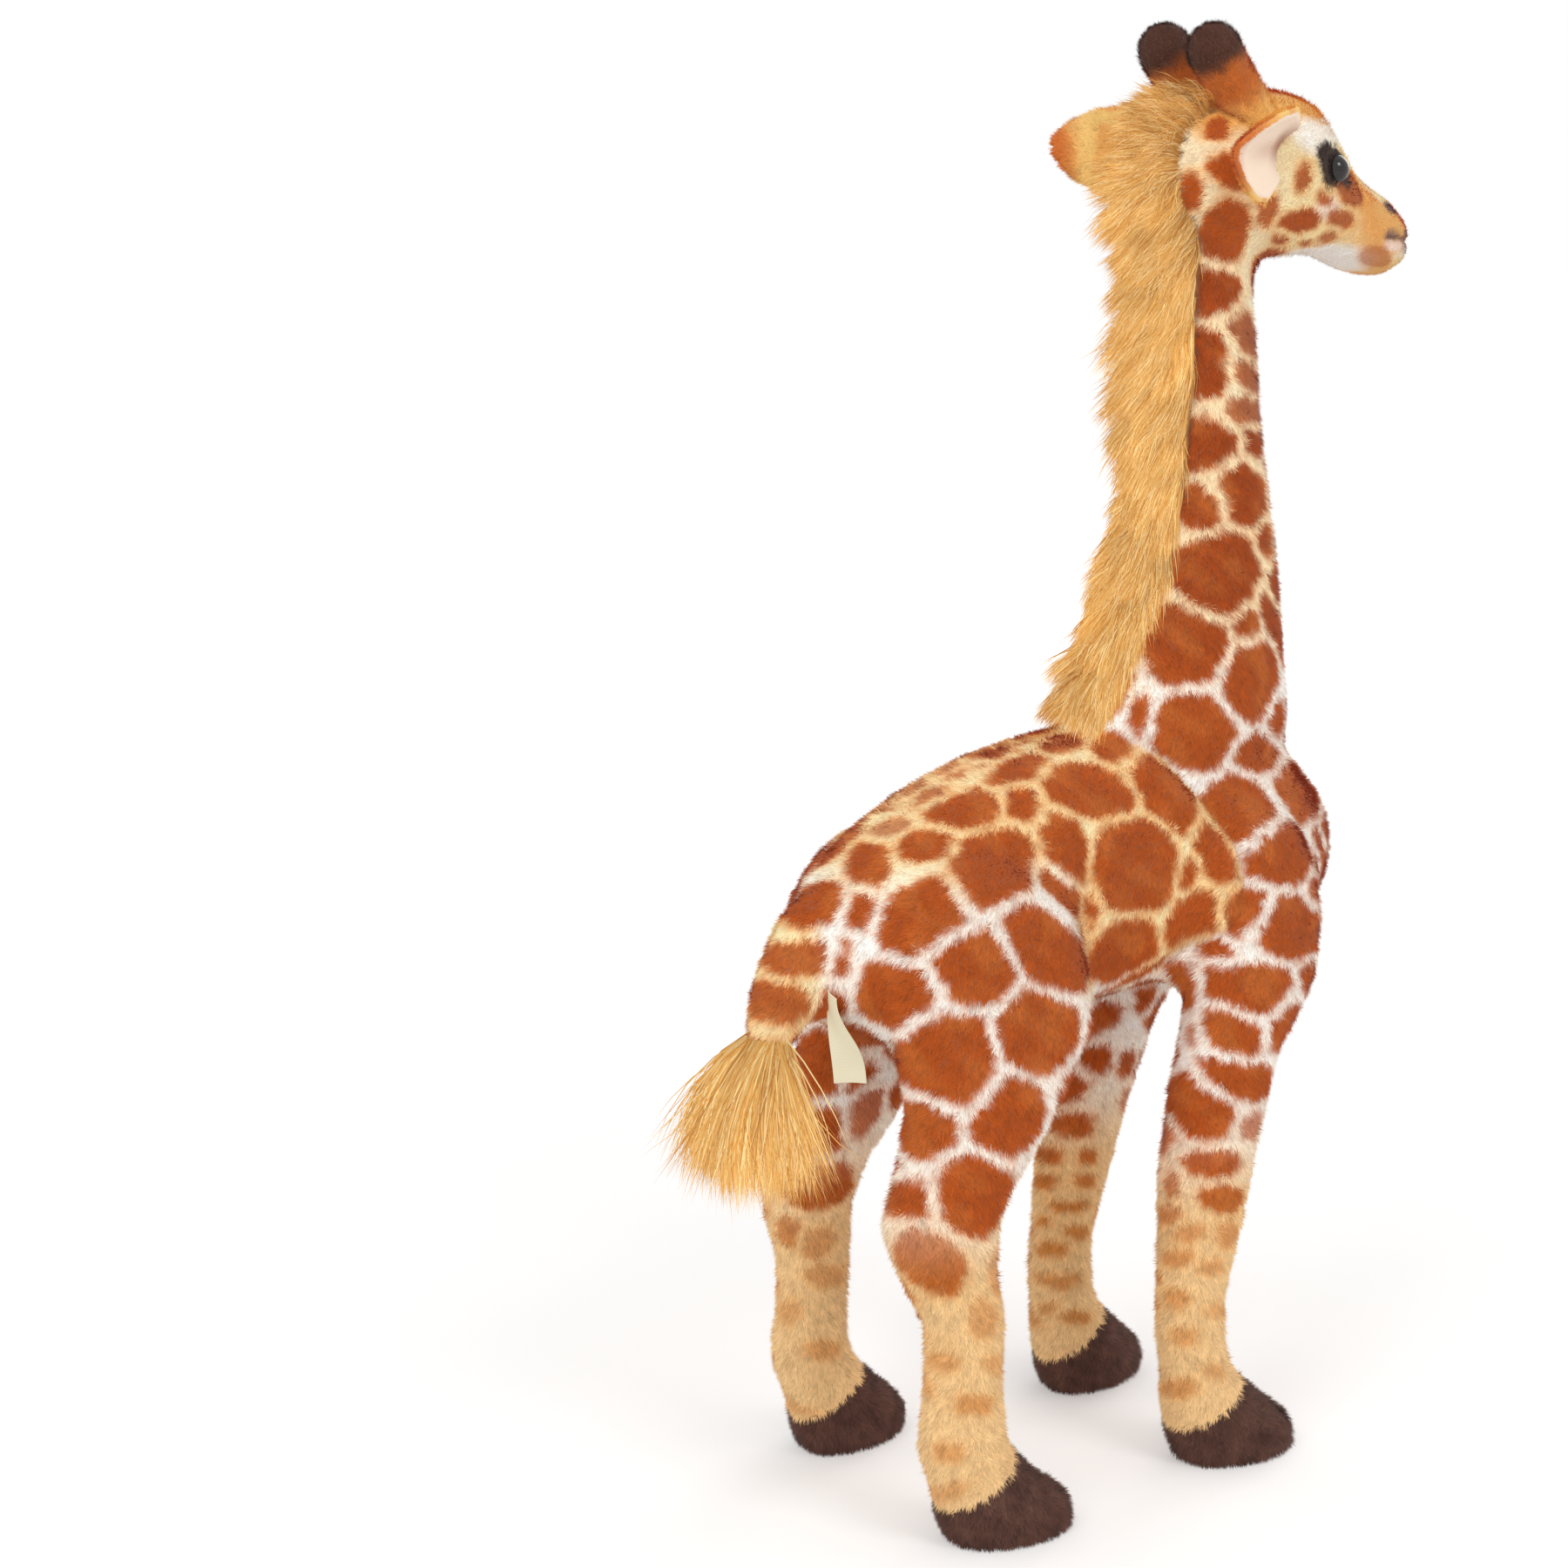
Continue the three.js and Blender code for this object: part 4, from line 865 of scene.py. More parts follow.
def face(points, facing):
    """The head's colour at points of it."""
    colour = np.tile(np.array(dye(253, 226, 172)), (len(points), 1))
    colour = blended(colour, dye(248, 224, 184), smooth(-0.115, -0.085, points[:, 1]))
    wobble = 0.0007 * ripple(points, 0.008, 4)
    eye_far = oval_distance(points, eye_place, np.full(3, 0.009))
    brow = smooth(0.004, 0.008, eye_far) * (1 - smooth(0.016, 0.024, eye_far)) * smooth(0.586, 0.592, points[:, 2])
    colour = blended(colour, dye(222, 156, 80), brow * arcs_round(eye_far, 0.0042) * 0.75)
    for middle, half, shade, soft in FACE_MARKS:
        edge = oval_distance(points, np.array(middle), np.array(half)) + wobble
        colour = blended(colour, shade, 1 - smooth(-soft, soft, edge))
    ahead = smooth(0.05, 0.4, facing @ FRONT_FACING) * smooth(-0.112, -0.122, points[:, 1])
    for across, down, wide, high, turned, shade, soft in FRONT_MARKS:
        edge = front_distance(points, across, down, wide, high, turned) + 6000 * wobble * (soft > 5)
        colour = blended(colour, shade, (1 - smooth(-soft, soft, edge)) * ahead)
    inner_brow = hump(eye_far, 0.0125, 0.0045) * smooth(0.578, 0.584, points[:, 2])
    inner_brow = np.clip(1.5 * inner_brow * smooth(0.026, 0.021, np.abs(points[:, 0])), 0, 1)
    inner_brow *= smooth(0.4, 0.8, arcs_round(eye_far, 0.0036))
    colour = blended(colour, dye(226, 150, 66), inner_brow * ahead * 0.8)
    edge, strength = edge_distance(points, cheek_patches, grown=0.0008)
    edge = edge + wobble
    colour = blended(colour, ORANGE, (1 - smooth(-0.0005, 0.0036, edge)) * 0.65 * strength)
    colour = blended(colour, RUST, (1 - smooth(-0.0014, 0.0008, edge)) * strength)
    colour = with_strip(colour, np.where(points[:, 1] > -0.090, mane_strip(points, facing), -0.01))
    colour = blended(colour, dye(44, 34, 34), 1 - smooth(-0.0012, 0.0010, eye_fur(points) + 1.4 * wobble))
    on_head = smooth(0.004, 0.016, past_throat(points))
    return blended(coat(points, facing), colour, on_head)


cheek_patches = [patch for patch in (laid(head_tree, row) for row in CHEEK_MARKS) if patch is not None]
cheek_patches += [patch.mirrored() for patch in cheek_patches]
read_ones = np.array([patch.middle for patch in cheek_patches])
cheek_patches += [patch for patch in patches if past_throat(patch.middle) > -0.02 and patch.middle[1] > -0.112
    and np.linalg.norm(read_ones - patch.middle, axis=1).min() > 0.013]
head_places, head_facings = points_of(skull), facings_of(skull)
keep_values(skull, "plush_colour", face(head_places, head_facings))
keep_values(skull, "facing", head_facings)
print("face coloured at", len(head_places), "points")

# %% [markdown]
# ## Cutting the form into the toy's pieces
# Legs, tail and neck bend where they leave the torso, so each is its own closed piece. A bisect cuts the form at a
# plane and fills the cut, and the pieces then meet without a gap. The hooves are cut off at their slanted seam.

# %% Cut the body
def part_of(piece, name, point, normal, beyond):
    """The part of a piece on one side of a plane, closed at the cut: beyond the plane or behind it."""
    pick(piece)
    bpy.ops.object.duplicate()
    part = bpy.context.object
    part.name = part.data.name = name
    bpy.ops.object.mode_set(mode="EDIT")
    bpy.ops.mesh.select_all(action="SELECT")
    bpy.ops.mesh.bisect(plane_co=point, plane_no=normal, use_fill=True, clear_inner=beyond, clear_outer=not beyond)
    bpy.ops.object.mode_set(mode="OBJECT")
    return part


def drop(*pieces):
    """The pieces that were only needed on the way, taken out of the scene."""
    for piece in pieces:
        bpy.data.objects.remove(piece, do_unlink=True)


HIP_CUT, NAPE_CUT, TAIL_CUT = 0.2, 0.462, 0.1275
upper = part_of(body, "upper", (0, 0, HIP_CUT), (0, 0, 1), True)
legs = part_of(body, "legs", (0, 0, HIP_CUT), (0, 0, 1), False)
tail = part_of(upper, "tail_plush", (0, TAIL_CUT, 0.25), (0, 1, 0), True)
no_tail = part_of(upper, "no_tail", (0, TAIL_CUT, 0.25), (0, 1, 0), False)
torso = part_of(no_tail, "torso_plush", (0, 0, NECK_CUT), (0, 0, 1), False)
neck = part_of(no_tail, "neck", (0, 0, NECK_CUT), (0, 0, 1), True)
neck_lower = part_of(neck, "neck_lower_plush", (0, 0, NAPE_CUT), (0, 0, 1), False)
nape = part_of(neck, "nape", (0, 0, NAPE_CUT), (0, 0, 1), True)
neck_upper = part_of(nape, "neck_upper_plush", HEAD_CUT, HEAD_CUT_WAY, False)
head = part_of(skull, "head_plush", HEAD_CUT, HEAD_CUT_WAY, True)
drop(upper, no_tail, neck, nape, skull)
pick(legs)
bpy.ops.object.mode_set(mode="EDIT")
bpy.ops.mesh.select_all(action="SELECT")
bpy.ops.mesh.separate(type="LOOSE")
bpy.ops.object.mode_set(mode="OBJECT")
shanks, hooves = {}, {}
for loose in list(bpy.context.selected_objects):
    middle = points_of(loose).mean(0)
    leg = ("front" if middle[1] < 0 else "rear") + "_leg_" + ("right" if middle[0] < 0 else "left")
    seam = ((0, -0.044 if middle[1] < 0 else 0.088, 0.027), (0, 0.5, 0.866))
    shanks[leg] = part_of(loose, leg + "_plush", *seam, True)
    hooves[leg] = part_of(loose, leg.replace("leg", "hoof") + "_plush", *seam, False)
    drop(loose)
drop(body)
print(sorted(shanks), "cut at the hips")

# %% [markdown]
# ## The pile
# Plush is a knitted cloth with some hundred soft fibres on each square centimetre, brushed one way. Blender's hair
# isn't part of a mesh, so each small lock of fibres is modelled as one narrow triangle, rooted on the skin, leaning
# the way the pile is brushed, and dyed as the skin under it. Locks close together lean together, which gives the
# cloth its mottled look. Their normals follow the skin, so that they catch the light as soft cloth does.

# %% Roots on a skin
CM2_IN_M2 = 10000


def roots_on(skin, per_cm2, seed):
    """Even random places on a skin, with the way it faces, its colour, and 1 where it is an ear's lining. The filled
    cuts between two pieces have more than four sides and get none."""
    mesh = skin.data
    mesh.calc_loop_triangles()
    corners = values(mesh.loop_triangles, "vertices", 3, np.int32)
    face_of = values(mesh.loop_triangles, "polygon_index", 1, np.int32)
    corners = corners[values(mesh.polygons, "loop_total", 1, np.int32)[face_of] <= 4]
    points = points_of(skin)
    facing = values(mesh.attributes["facing"].data, "vector", 3)
    colour = values(mesh.attributes["plush_colour"].data, "color", 4)[:, :3]
    lined = mesh.attributes.get("lined")
    lined = values(lined.data, "value") if lined else np.zeros(len(points))
    first, second, third = (points[corners[:, i]] for i in range(3))
    areas = np.linalg.norm(np.cross(second - first, third - first), axis=1) / 2
    draw = np.random.default_rng(seed)
    count = int(areas.sum() * CM2_IN_M2 * per_cm2)
    chosen = np.searchsorted(areas.cumsum(), (np.arange(count) + draw.random(count)) / count * areas.sum())
    chosen = np.minimum(chosen, len(corners) - 1)
    share = draw.random((count, 2))
    share = np.where(share.sum(1, keepdims=True) > 1, 1 - share, share)
    weights = np.column_stack([1 - share.sum(1), share])[:, :, None]
    picked = corners[chosen]
    return ((points[picked] * weights).sum(1), unit((facing[picked] * weights).sum(1)),
            (colour[picked] * weights).sum(1), (lined[picked] * weights[:, :, 0]).sum(1), draw)


print("roots can be spread")

# %% [markdown]
# ## Locks as a mesh
# A mesh of a million points can't be built by operators one lock at a time, so the points of all locks are worked out
# in tables and handed to a new mesh at once. Each lock gets a small place of its own on the map for baked colours.

# %% Locks as a mesh
def map_cells(roots):
    """A place of its own on the map for each lock, neighbours beside each other."""
    count = len(roots)
    rows = max(1, math.ceil(math.sqrt(count)))
    order = np.argsort(roots[:, 2], kind="stable")
    cell = np.empty((count, 2))
    centre = roots.mean(0)
    turn = np.arctan2(roots[:, 1] - centre[1], roots[:, 0] - centre[0])
    for row in range(rows):
        band = order[row * rows:(row + 1) * rows]
        band = band[np.argsort(turn[band])]
        cell[band] = np.column_stack([np.arange(len(band)), np.full(len(band), row)])
    return cell / rows, 1 / rows


def locks(name, roots, facing, colour, steps, width, side, finish, rounded=False):
    """A mesh of locks. Steps are each lock's points from root to tip; all but the last have a left and a right. Short
    locks take the light as the skin under them, and rounded ones as a strand of their own. Light passes between real
    fibres, so the locks neither shade each other nor pass on their colour."""
    count, last = len(roots), len(steps) - 1
    points = []
    for i, middle in enumerate(steps[:-1]):
        half = side * (width * (1 - 0.75 * (i / last) ** 1.5) / 2)
        points += [middle - half, middle + half]
    points.append(steps[-1])
    per = len(points)
    points = np.stack(points, 1).reshape(-1, 3)
    pattern = []
    for left in range(0, 2 * last - 2, 2):
        pattern += [(left, left + 1, left + 3), (left, left + 3, left + 2)]
    pattern.append((2 * last - 2, 2 * last - 1, 2 * last))
    faces = (np.arange(count)[:, None, None] * per + np.array(pattern)[None]).reshape(-1, 3).astype(np.int32)
    mesh = bpy.data.meshes.new(name)
    mesh.vertices.add(len(points))
    mesh.vertices.foreach_set("co", points.astype(np.float32).ravel())
    mesh.loops.add(faces.size)
    mesh.loops.foreach_set("vertex_index", faces.ravel())
    mesh.polygons.add(len(faces))
    mesh.polygons.foreach_set("loop_start", np.arange(len(faces), dtype=np.int32) * 3)
    mesh.polygons.foreach_set("use_smooth", np.ones(len(faces), bool))
    mesh.update(calc_edges=True)
    flat = unit(np.cross(side, steps[-1] - steps[0]))
    flat *= np.sign((flat * facing).sum(1, keepdims=True) + 1e-9)
    soft = np.repeat(unit(facing * 0.8 + flat * 0.3), per, 0)
    if rounded:
        leaning = [-0.8 * side, 0.8 * side] * last + [0 * side]
        outwards = np.cross(side, steps[-1] - steps[0]) / 0.03
        soft = unit(np.stack([outwards + lean for lean in leaning], 1).reshape(-1, 3))
    piece = bpy.data.objects.new(name, mesh)
    scene.collection.objects.link(piece)
    piece.visible_shadow = piece.visible_diffuse = False
    mesh.attributes.new("custom_normal", "FLOAT_VECTOR", "POINT").data.foreach_set(
        "vector", soft.astype(np.float32).ravel())
    keep_values(piece, "plush_colour", np.repeat(colour, per, 0))
    along = np.concatenate([np.repeat(np.arange(last) / last, 2), [1.0]])
    keep_values(piece, "lock_share", np.tile(along, count))
    cell, size = map_cells(roots)
    spot = np.stack([np.tile([0.1, 0.9], last + 1)[:per], 0.1 + 0.8 * along], 1)
    layer = mesh.uv_layers.new(name="OFBake")
    places_on_map = (np.repeat(cell, per, 0) + np.tile(spot, (count, 1)) * size)[faces.ravel()]
    layer.uv.foreach_set("vector", places_on_map.astype(np.float32).ravel())
    mesh.materials.append(finish.material)
    return piece


print("locks can be built")

# %% [markdown]
# ## The fall of the pile
# Pile is brushed one way but never lies quite even. Locks that stand within a few millimetres of each other share a
# small pull of their own, and each one varies a little in lean, length and shade, as on the real cloth.

# %% Grow a pile
ROOT_DEPTH, FLOOR_GAP = 0.0005, 0.0003


def clumped(roots, waver, wave, size, seed):
    """The number of the clump that each root belongs to, in a grid whose lines waver."""
    cell = np.floor((roots + waver * np.stack([ripple(roots, wave, seed + k) for k in (1, 2, 3)], 1)) / size)
    return np.unique(cell, axis=0, return_inverse=True)[1].ravel()


def pile(skin, name, per_cm2, length, width, brushed, seed, lean=60, keep=None, tone=0.13):
    """The pile of a skin. Brushed gives the way that it is brushed at each root, keep the roots that have any, lean
    its angle from upright, and tone how much its shade varies."""
    roots, facing, colour, lined, draw = roots_on(skin, per_cm2, seed)
    if keep is not None:
        kept = keep(roots, facing, lined)
        roots, facing, colour = roots[kept], facing[kept], colour[kept]
    count = len(roots)
    way = np.broadcast_to(brushed(roots), roots.shape)
    way = unit(way - facing * (way * facing).sum(1, keepdims=True))
    tuft = clumped(roots, 0.0012, 0.006, 0.0030, seed)
    pull = draw.normal(size=(tuft.max() + 1, 3))[tuft] * 0.34
    way = unit(way + pull - facing * (pull * facing).sum(1, keepdims=True) + draw.normal(size=roots.shape) * 0.22)
    angle = np.radians(lean + 5 * ripple(roots, 0.012, seed + 9) + draw.normal(size=count) * 4)[:, None]
    direction = unit(facing * np.cos(angle) + way * np.sin(angle))
    long = (length(roots) if callable(length) else np.full(count, length)) * draw.uniform(0.72, 1.12, count)
    side = unit(np.cross(direction, facing) + draw.normal(size=roots.shape) * 0.12)
    shade = 1 + tone * draw.normal(size=count) + 0.55 * tone * draw.normal(size=tuft.max() + 1)[tuft]
    colour = np.clip(colour * np.clip(shade, 0.6, 1.4)[:, None], 0, 1)
    base = roots - facing * ROOT_DEPTH
    tips = base + direction * long[:, None]
    tips[:, 2] = np.maximum(tips[:, 2], FLOOR_GAP)
    print(name, count, "locks")
    return locks(name, roots, facing, colour, [base, tips], width, side, pile_finish)


# %% [markdown]
# ## Finishes of the plush
# The skin under the pile is a knitted ground, darkened by painted shade, since the pile casts no shadow on it. The
# fibres are darkened towards the root by painted shade, where light hardly gets in, and have the soft sheen of
# polyester. Both read the colours that are kept on the mesh, so that one finish does for every patch and no picture is
# needed.

# %% Plush finishes
def plush_finish(name, sheen, roughness=0.85):
    return Finish(name, Roughness=roughness, Sheen_Weight=sheen, Sheen_Roughness=0.5, Specular_IOR_Level=0.15)


def fibre_finish(name, root_shade, tip_shade, roughness=0.85):
    """Fibres in the colour that is kept on them, with painted shade from a dark root to a slightly brighter tip."""
    finish = plush_finish(name, 0.03, roughness)
    # Painted shade stands in for the shadow that the locks don't cast on each other.
    shade = finish.told("lock_share") * (tip_shade - root_shade) + root_shade
    grey = finish.make("ShaderNodeCombineColor", {}, {0: shade, 1: shade, 2: shade})[0]
    finish.feed("Base Color", finish.tint(finish.told("plush_colour", True), grey, 1.0, "MULTIPLY"))
    return finish


pile_finish = fibre_finish("plush_fibres", 0.70, 1.12)
fur_finish = fibre_finish("long_fibres", 0.74, 1.10, roughness=0.6)
ground_finish = plush_finish("plush_ground", 0.03)
knit = ground_finish.noise(900.0)
# Painted shade: the skin under the pile is darkened, as the locks cast no shadow on it.
ground_in_painted_shade = ground_finish.tint(ground_finish.told("plush_colour", True), (0.45, 0.36, 0.3, 1), 0.3, "MULTIPLY")
ground_finish.feed("Base Color", ground_finish.tint(ground_in_painted_shade, (0.3, 0.2, 0.14, 1), knit * 0.25))
ground_finish.bump(knit, 0.4, 0.001)
print("plush finishes are mixed")

# %% [markdown]
# ## Dressing the pieces
# Each skin is a stuffed piece: its CAD nodes are hidden, it is parented to its body's empty where it has one body,
# and its pile goes with it. Where it lies between two bodies, only its place is baked into its mesh, and it is not
# bent.
# Brushing runs backwards on the torso, down the neck and legs, and back from the muzzle over the head.

# %% Bind skins and their pile
def sew_on(piece, slot, bodies, start=None, end=None, stands_for=()):
    """A piece parented to the empty of the body that carries it, or, given a start between two bodies, only with its
    place baked into its mesh and not bent. The CAD nodes that it stands for are hidden. Its slot and end are not used."""
    if start is None:
        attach(piece, bodies)
    else:
        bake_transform(piece)
    if stands_for:
        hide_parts(*stands_for)


def on_six_sides(piece):
    """A map of its own for the baked colours: the six ways that faces point, side by side."""
    mesh = piece.data
    corners = values(mesh.loops, "vertex_index", 1, np.int32)
    per_face = values(mesh.polygons, "loop_total", 1, np.int32)
    normals = np.repeat(values(mesh.polygons, "normal", 3), per_face, 0)
    points = values(mesh.vertices, "co", 3)[corners]
    low, size = points.min(0), max(np.ptp(points, axis=0).max(), 1e-6)
    share = (points - low) / size
    axis = np.abs(normals).argmax(1)
    beyond = np.take_along_axis(normals, axis[:, None], 1)[:, 0] > 0
    flat = np.stack([np.where(axis == 0, share[:, 1], share[:, 0]), np.where(axis == 2, share[:, 1], share[:, 2])], 1)
    cell = np.stack([axis, beyond.astype(int)], 1) / [3, 2]
    layer = mesh.uv_layers.new(name="OFBake")
    layer.uv.foreach_set("vector", (cell + (flat * 0.96 + 0.02) / [3, 2]).astype(np.float32).ravel())


def dress(skin, slot, stands_for, *bodies, finish=ground_finish):
    """A skin with its finish and its map, sewn on by sew_on."""
    pick(skin)
    bpy.ops.object.shade_smooth_by_angle(angle=math.radians(50))
    skin.data.materials.append(finish.material)
    on_six_sides(skin)
    sew_on(skin, slot, *bodies, stands_for=stands_for)


def from_eyes(points):
    """The way to points from the eye on their side."""
    return points - eye_place * np.where(points[:, :1] < 0, [-1, 1, 1], [1, 1, 1])


def brushed_body(points):
    """The way that the body's pile is brushed: backwards on the torso, and down on neck and legs."""
    height = points[:, 2:3]
    neck = smooth(0.30, 0.36, height)
    down = 1 - smooth(0.17, 0.25, height)
    way = np.array([0.0, 0.75, -0.65]) * (1 - neck) * (1 - down) + np.array([0.0, 0.1, -1.0]) * np.maximum(neck, down)
    return way + 0.25 * np.stack([ripple(points, 0.05, k) for k in (21, 22, 23)], 1)


def brushed_head(points):
    """The way that the head's pile is brushed: back from the muzzle and away from the eyes."""
    way = np.array([0.0, 1.0, -0.22]) + 0.18 * np.stack([ripple(points, 0.03, k) for k in (31, 32, 33)], 1)
    way = way + points * [4.0, 0, 0]
    on_neck = 1 - smooth(0.0, 0.02, past_throat(points))[:, None]
    way = way * (1 - on_neck) + np.array([0, 0.1, -1.0]) * on_neck
    off = np.linalg.norm(from_eyes(points), axis=1)
    near = 1 - smooth(0.009, 0.015, off)[:, None]
    return way * (1 - near) + unit(from_eyes(points)) * near * np.where(off < 0.0085, -1, 1)[:, None]


print("ways of brushing are set")

# %% [markdown]
# ## Torso, neck, legs and tail
# One pile over the whole torso would be too large a mesh, so it is grown in three fields that meet unseen among the
# locks. Neck, legs and tail each have their own pile, placed with the skin under it. The factor QUICK thins every pile
# and keeps its length.

# %% Torso, neck, legs and tail
QUICK = 1
BODY_PILE = (380 * QUICK, 0.0046, 0.00062, brushed_body)
dress(torso, "patched_plush", ["torso_back_skin", "torso_chest_skin", "torso_belly_skin", "torso_filling"], "torso")


def off_mane(roots, facing, lined):
    """Most of the pile is left out where the mane is sewn on."""
    strip = mane_strip(roots, facing)
    return (strip < -0.0012) | ((strip > 0) & (np.arange(len(roots)) % 4 == 0))


MIDDLE_HALF = 0.012
TORSO_PILES = {
    "torso_pile_right": lambda roots, facing, lined: roots[:, 0] < -MIDDLE_HALF,
    "torso_pile_left": lambda roots, facing, lined: roots[:, 0] > MIDDLE_HALF,
    "torso_pile_middle": lambda roots, facing, lined: np.abs(roots[:, 0]) <= MIDDLE_HALF,
}
for number, (name, keep) in enumerate(TORSO_PILES.items()):
    sew_on(pile(torso, name, *BODY_PILE, 100 + number, keep=keep), "patched_plush", "torso")

NECK_BENDS = {
    "neck_lower": (("torso", "neck"), (0, 0, NECK_CUT), (0, 0, 0.43)),
    "neck_upper": (("neck", "neck_core"), (0, 0, NAPE_CUT), (0, 0, 0.499)),
}
for number, (name, bend) in enumerate(NECK_BENDS.items()):
    skin = neck_lower if name == "neck_lower" else neck_upper
    sew_on(pile(skin, name + "_pile", *BODY_PILE, 110 + number, keep=off_mane), "patched_plush", *bend)
    dress(skin, "patched_plush", ["neck_skin", "neck_filling"], *bend)

for number, (leg, skin) in enumerate(shanks.items()):
    bend = (("torso", leg), (0, 0, HIP_CUT), (0, 0, 0.10))
    sew_on(pile(skin, leg + "_pile", *BODY_PILE, 120 + number), "patched_plush", *bend)
    dress(skin, "patched_plush", [leg + "_skin", leg + "_filling"], *bend)

bend = (("torso", "tail"), (0, TAIL_CUT, 0.272), (0, 0.142, 0.252))
sew_on(pile(tail, "tail_pile", *BODY_PILE, 130), "cream_plush", *bend)
dress(tail, "cream_plush", ["tail_skin", "tail_filling"], *bend)

# %% [markdown]
# ## Head
# The head's skin is stuffed tight over its filling. Its pile is shorter than the body's and shortest on the muzzle, so
# that the printed face stays clear. It is left out under the eyes, where the domes press it flat.

# %% Head
NOD_BEND = (("neck_core", "head"), HEAD_CUT, HEAD_CUT + HEAD_CUT_WAY * 0.028)
FINE_LOCK = 0.0005


def off_eyes(roots, facing, lined):
    return off_mane(roots, facing, lined) & (np.linalg.norm(from_eyes(roots), axis=1) > 0.0064)


def head_length(roots):
    return 0.0040 - 0.0016 * (1 - smooth(-0.17, -0.13, roots[:, 1]))


fur = pile(head, "head_pile", 480 * QUICK, head_length, FINE_LOCK, brushed_head, 140, lean=67, keep=off_eyes)
sew_on(fur, "golden_plush", *NOD_BEND)
dress(head, "golden_plush", ["head_skin", "chin_skin", "head_filling"], *NOD_BEND)

# %% [markdown]
# ## Horns
# Each horn is a small stuffed tube of the same plush, golden at the root, rust above it and charcoal at the tip. Its
# colours depend only on the height along it, so they need no table.

# %% Horns
HORN_TILT, HORN_LONG = math.radians(35), 0.050
HORN_ROOT, HORN_WAY = np.array([0.017, -0.097, 0.590]), np.array([0, math.sin(HORN_TILT), math.cos(HORN_TILT)])
for number, (side, sign) in enumerate(SIDES.items()):
    name = "horn_" + side
    nodes = [name + "_skin", name + "_filling"]
    horn = stuffed(merged_copy(name + "_plush", *nodes), 0.0013, 0.0, 0.0004, 6)
    points = points_of(horn)
    up = (points - HORN_ROOT * [sign, 1, 1]) @ HORN_WAY / HORN_LONG + 0.03 * ripple(points, 0.012, 7)
    colour = np.tile(np.array(dye(240, 184, 104)), (len(points), 1))
    colour = blended(colour, dye(194, 104, 44), smooth(0.18, 0.46, up))
    colour = blended(colour, dye(78, 48, 38), smooth(0.64, 0.82, up))
    keep_values(horn, "plush_colour", colour)
    keep_values(horn, "facing", facings_of(horn))
    fur = pile(horn, name + "_pile", 520 * QUICK, 0.0038, FINE_LOCK, lambda roots: HORN_WAY, 150 + number)
    sew_on(fur, "horn_plush", "head")
    dress(horn, "horn_plush", nodes, "head")

# %% [markdown]
# ## Ears
# An ear is two layers sewn edge to edge: patched plush behind and a pale, short-piled lining in front. Both are merged
# into one thin form. Which layer a point belongs to is told by the nearer CAD piece, and the lining gets a nap of its
# own that is hardly a millimetre long. The fold along the middle is not cut, as the layers are thin: painted shade
# darkens the lining along it, most in the hollow near the root.

# %% Ears
EAR_BACK, EAR_LONG = math.radians(56), 0.068
EAR_ROOT = np.array([0.0313, -0.103, 0.585])
EAR_WAY = np.array([math.cos(EAR_BACK), math.sin(EAR_BACK), -0.03])
EAR_FACE = unit(np.array([math.sin(EAR_BACK), -math.cos(EAR_BACK), -0.35]))
lining_finish = plush_finish("ear_lining_cloth", 0.1)
nap_shade = lining_finish.noise(1500.0, 2.0) * 0.12
lining_colour = lining_finish.told("plush_colour", True)
lining_finish.feed("Base Color", lining_finish.tint(lining_colour, (0.5, 0.3, 0.22, 1), nap_shade))


def off_node(points, node):
    """How far points are from a CAD node."""
    form = tree_of(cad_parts[node])
    return np.array([form.find_nearest(Vector(point))[3] for point in points])


def ear_back_colour(points, out):
    colour = np.tile(np.array(dye(244, 196, 116)), (len(points), 1))
    spots = smooth(-0.15, 0.35, ripple(points, 0.024, 15))
    colour = blended(colour, dye(230, 158, 80), spots * smooth(0.12, 0.3, out) * 0.7)
    return blended(colour, dye(200, 106, 44), smooth(0.72, 0.92, out))


def ear_lining_with_fold_shade(points, out, rise):
    colour = np.tile(np.array(dye(250, 228, 206)), (len(points), 1))
    # Painted shade along the fold down the middle of the lining, and deeper painted shade in the hollow at its root.
    colour = blended(colour, dye(178, 112, 74), hump(rise, -0.002, 0.0045) * smooth(1.05, 0.1, out) * 0.45)
    colour = blended(colour, dye(150, 92, 60), hump(rise, 0.0, 0.008) * smooth(0.34, 0.12, out) * 0.8)
    return blended(colour, dye(206, 150, 112), smooth(0.80, 1.0, out) * 0.6)


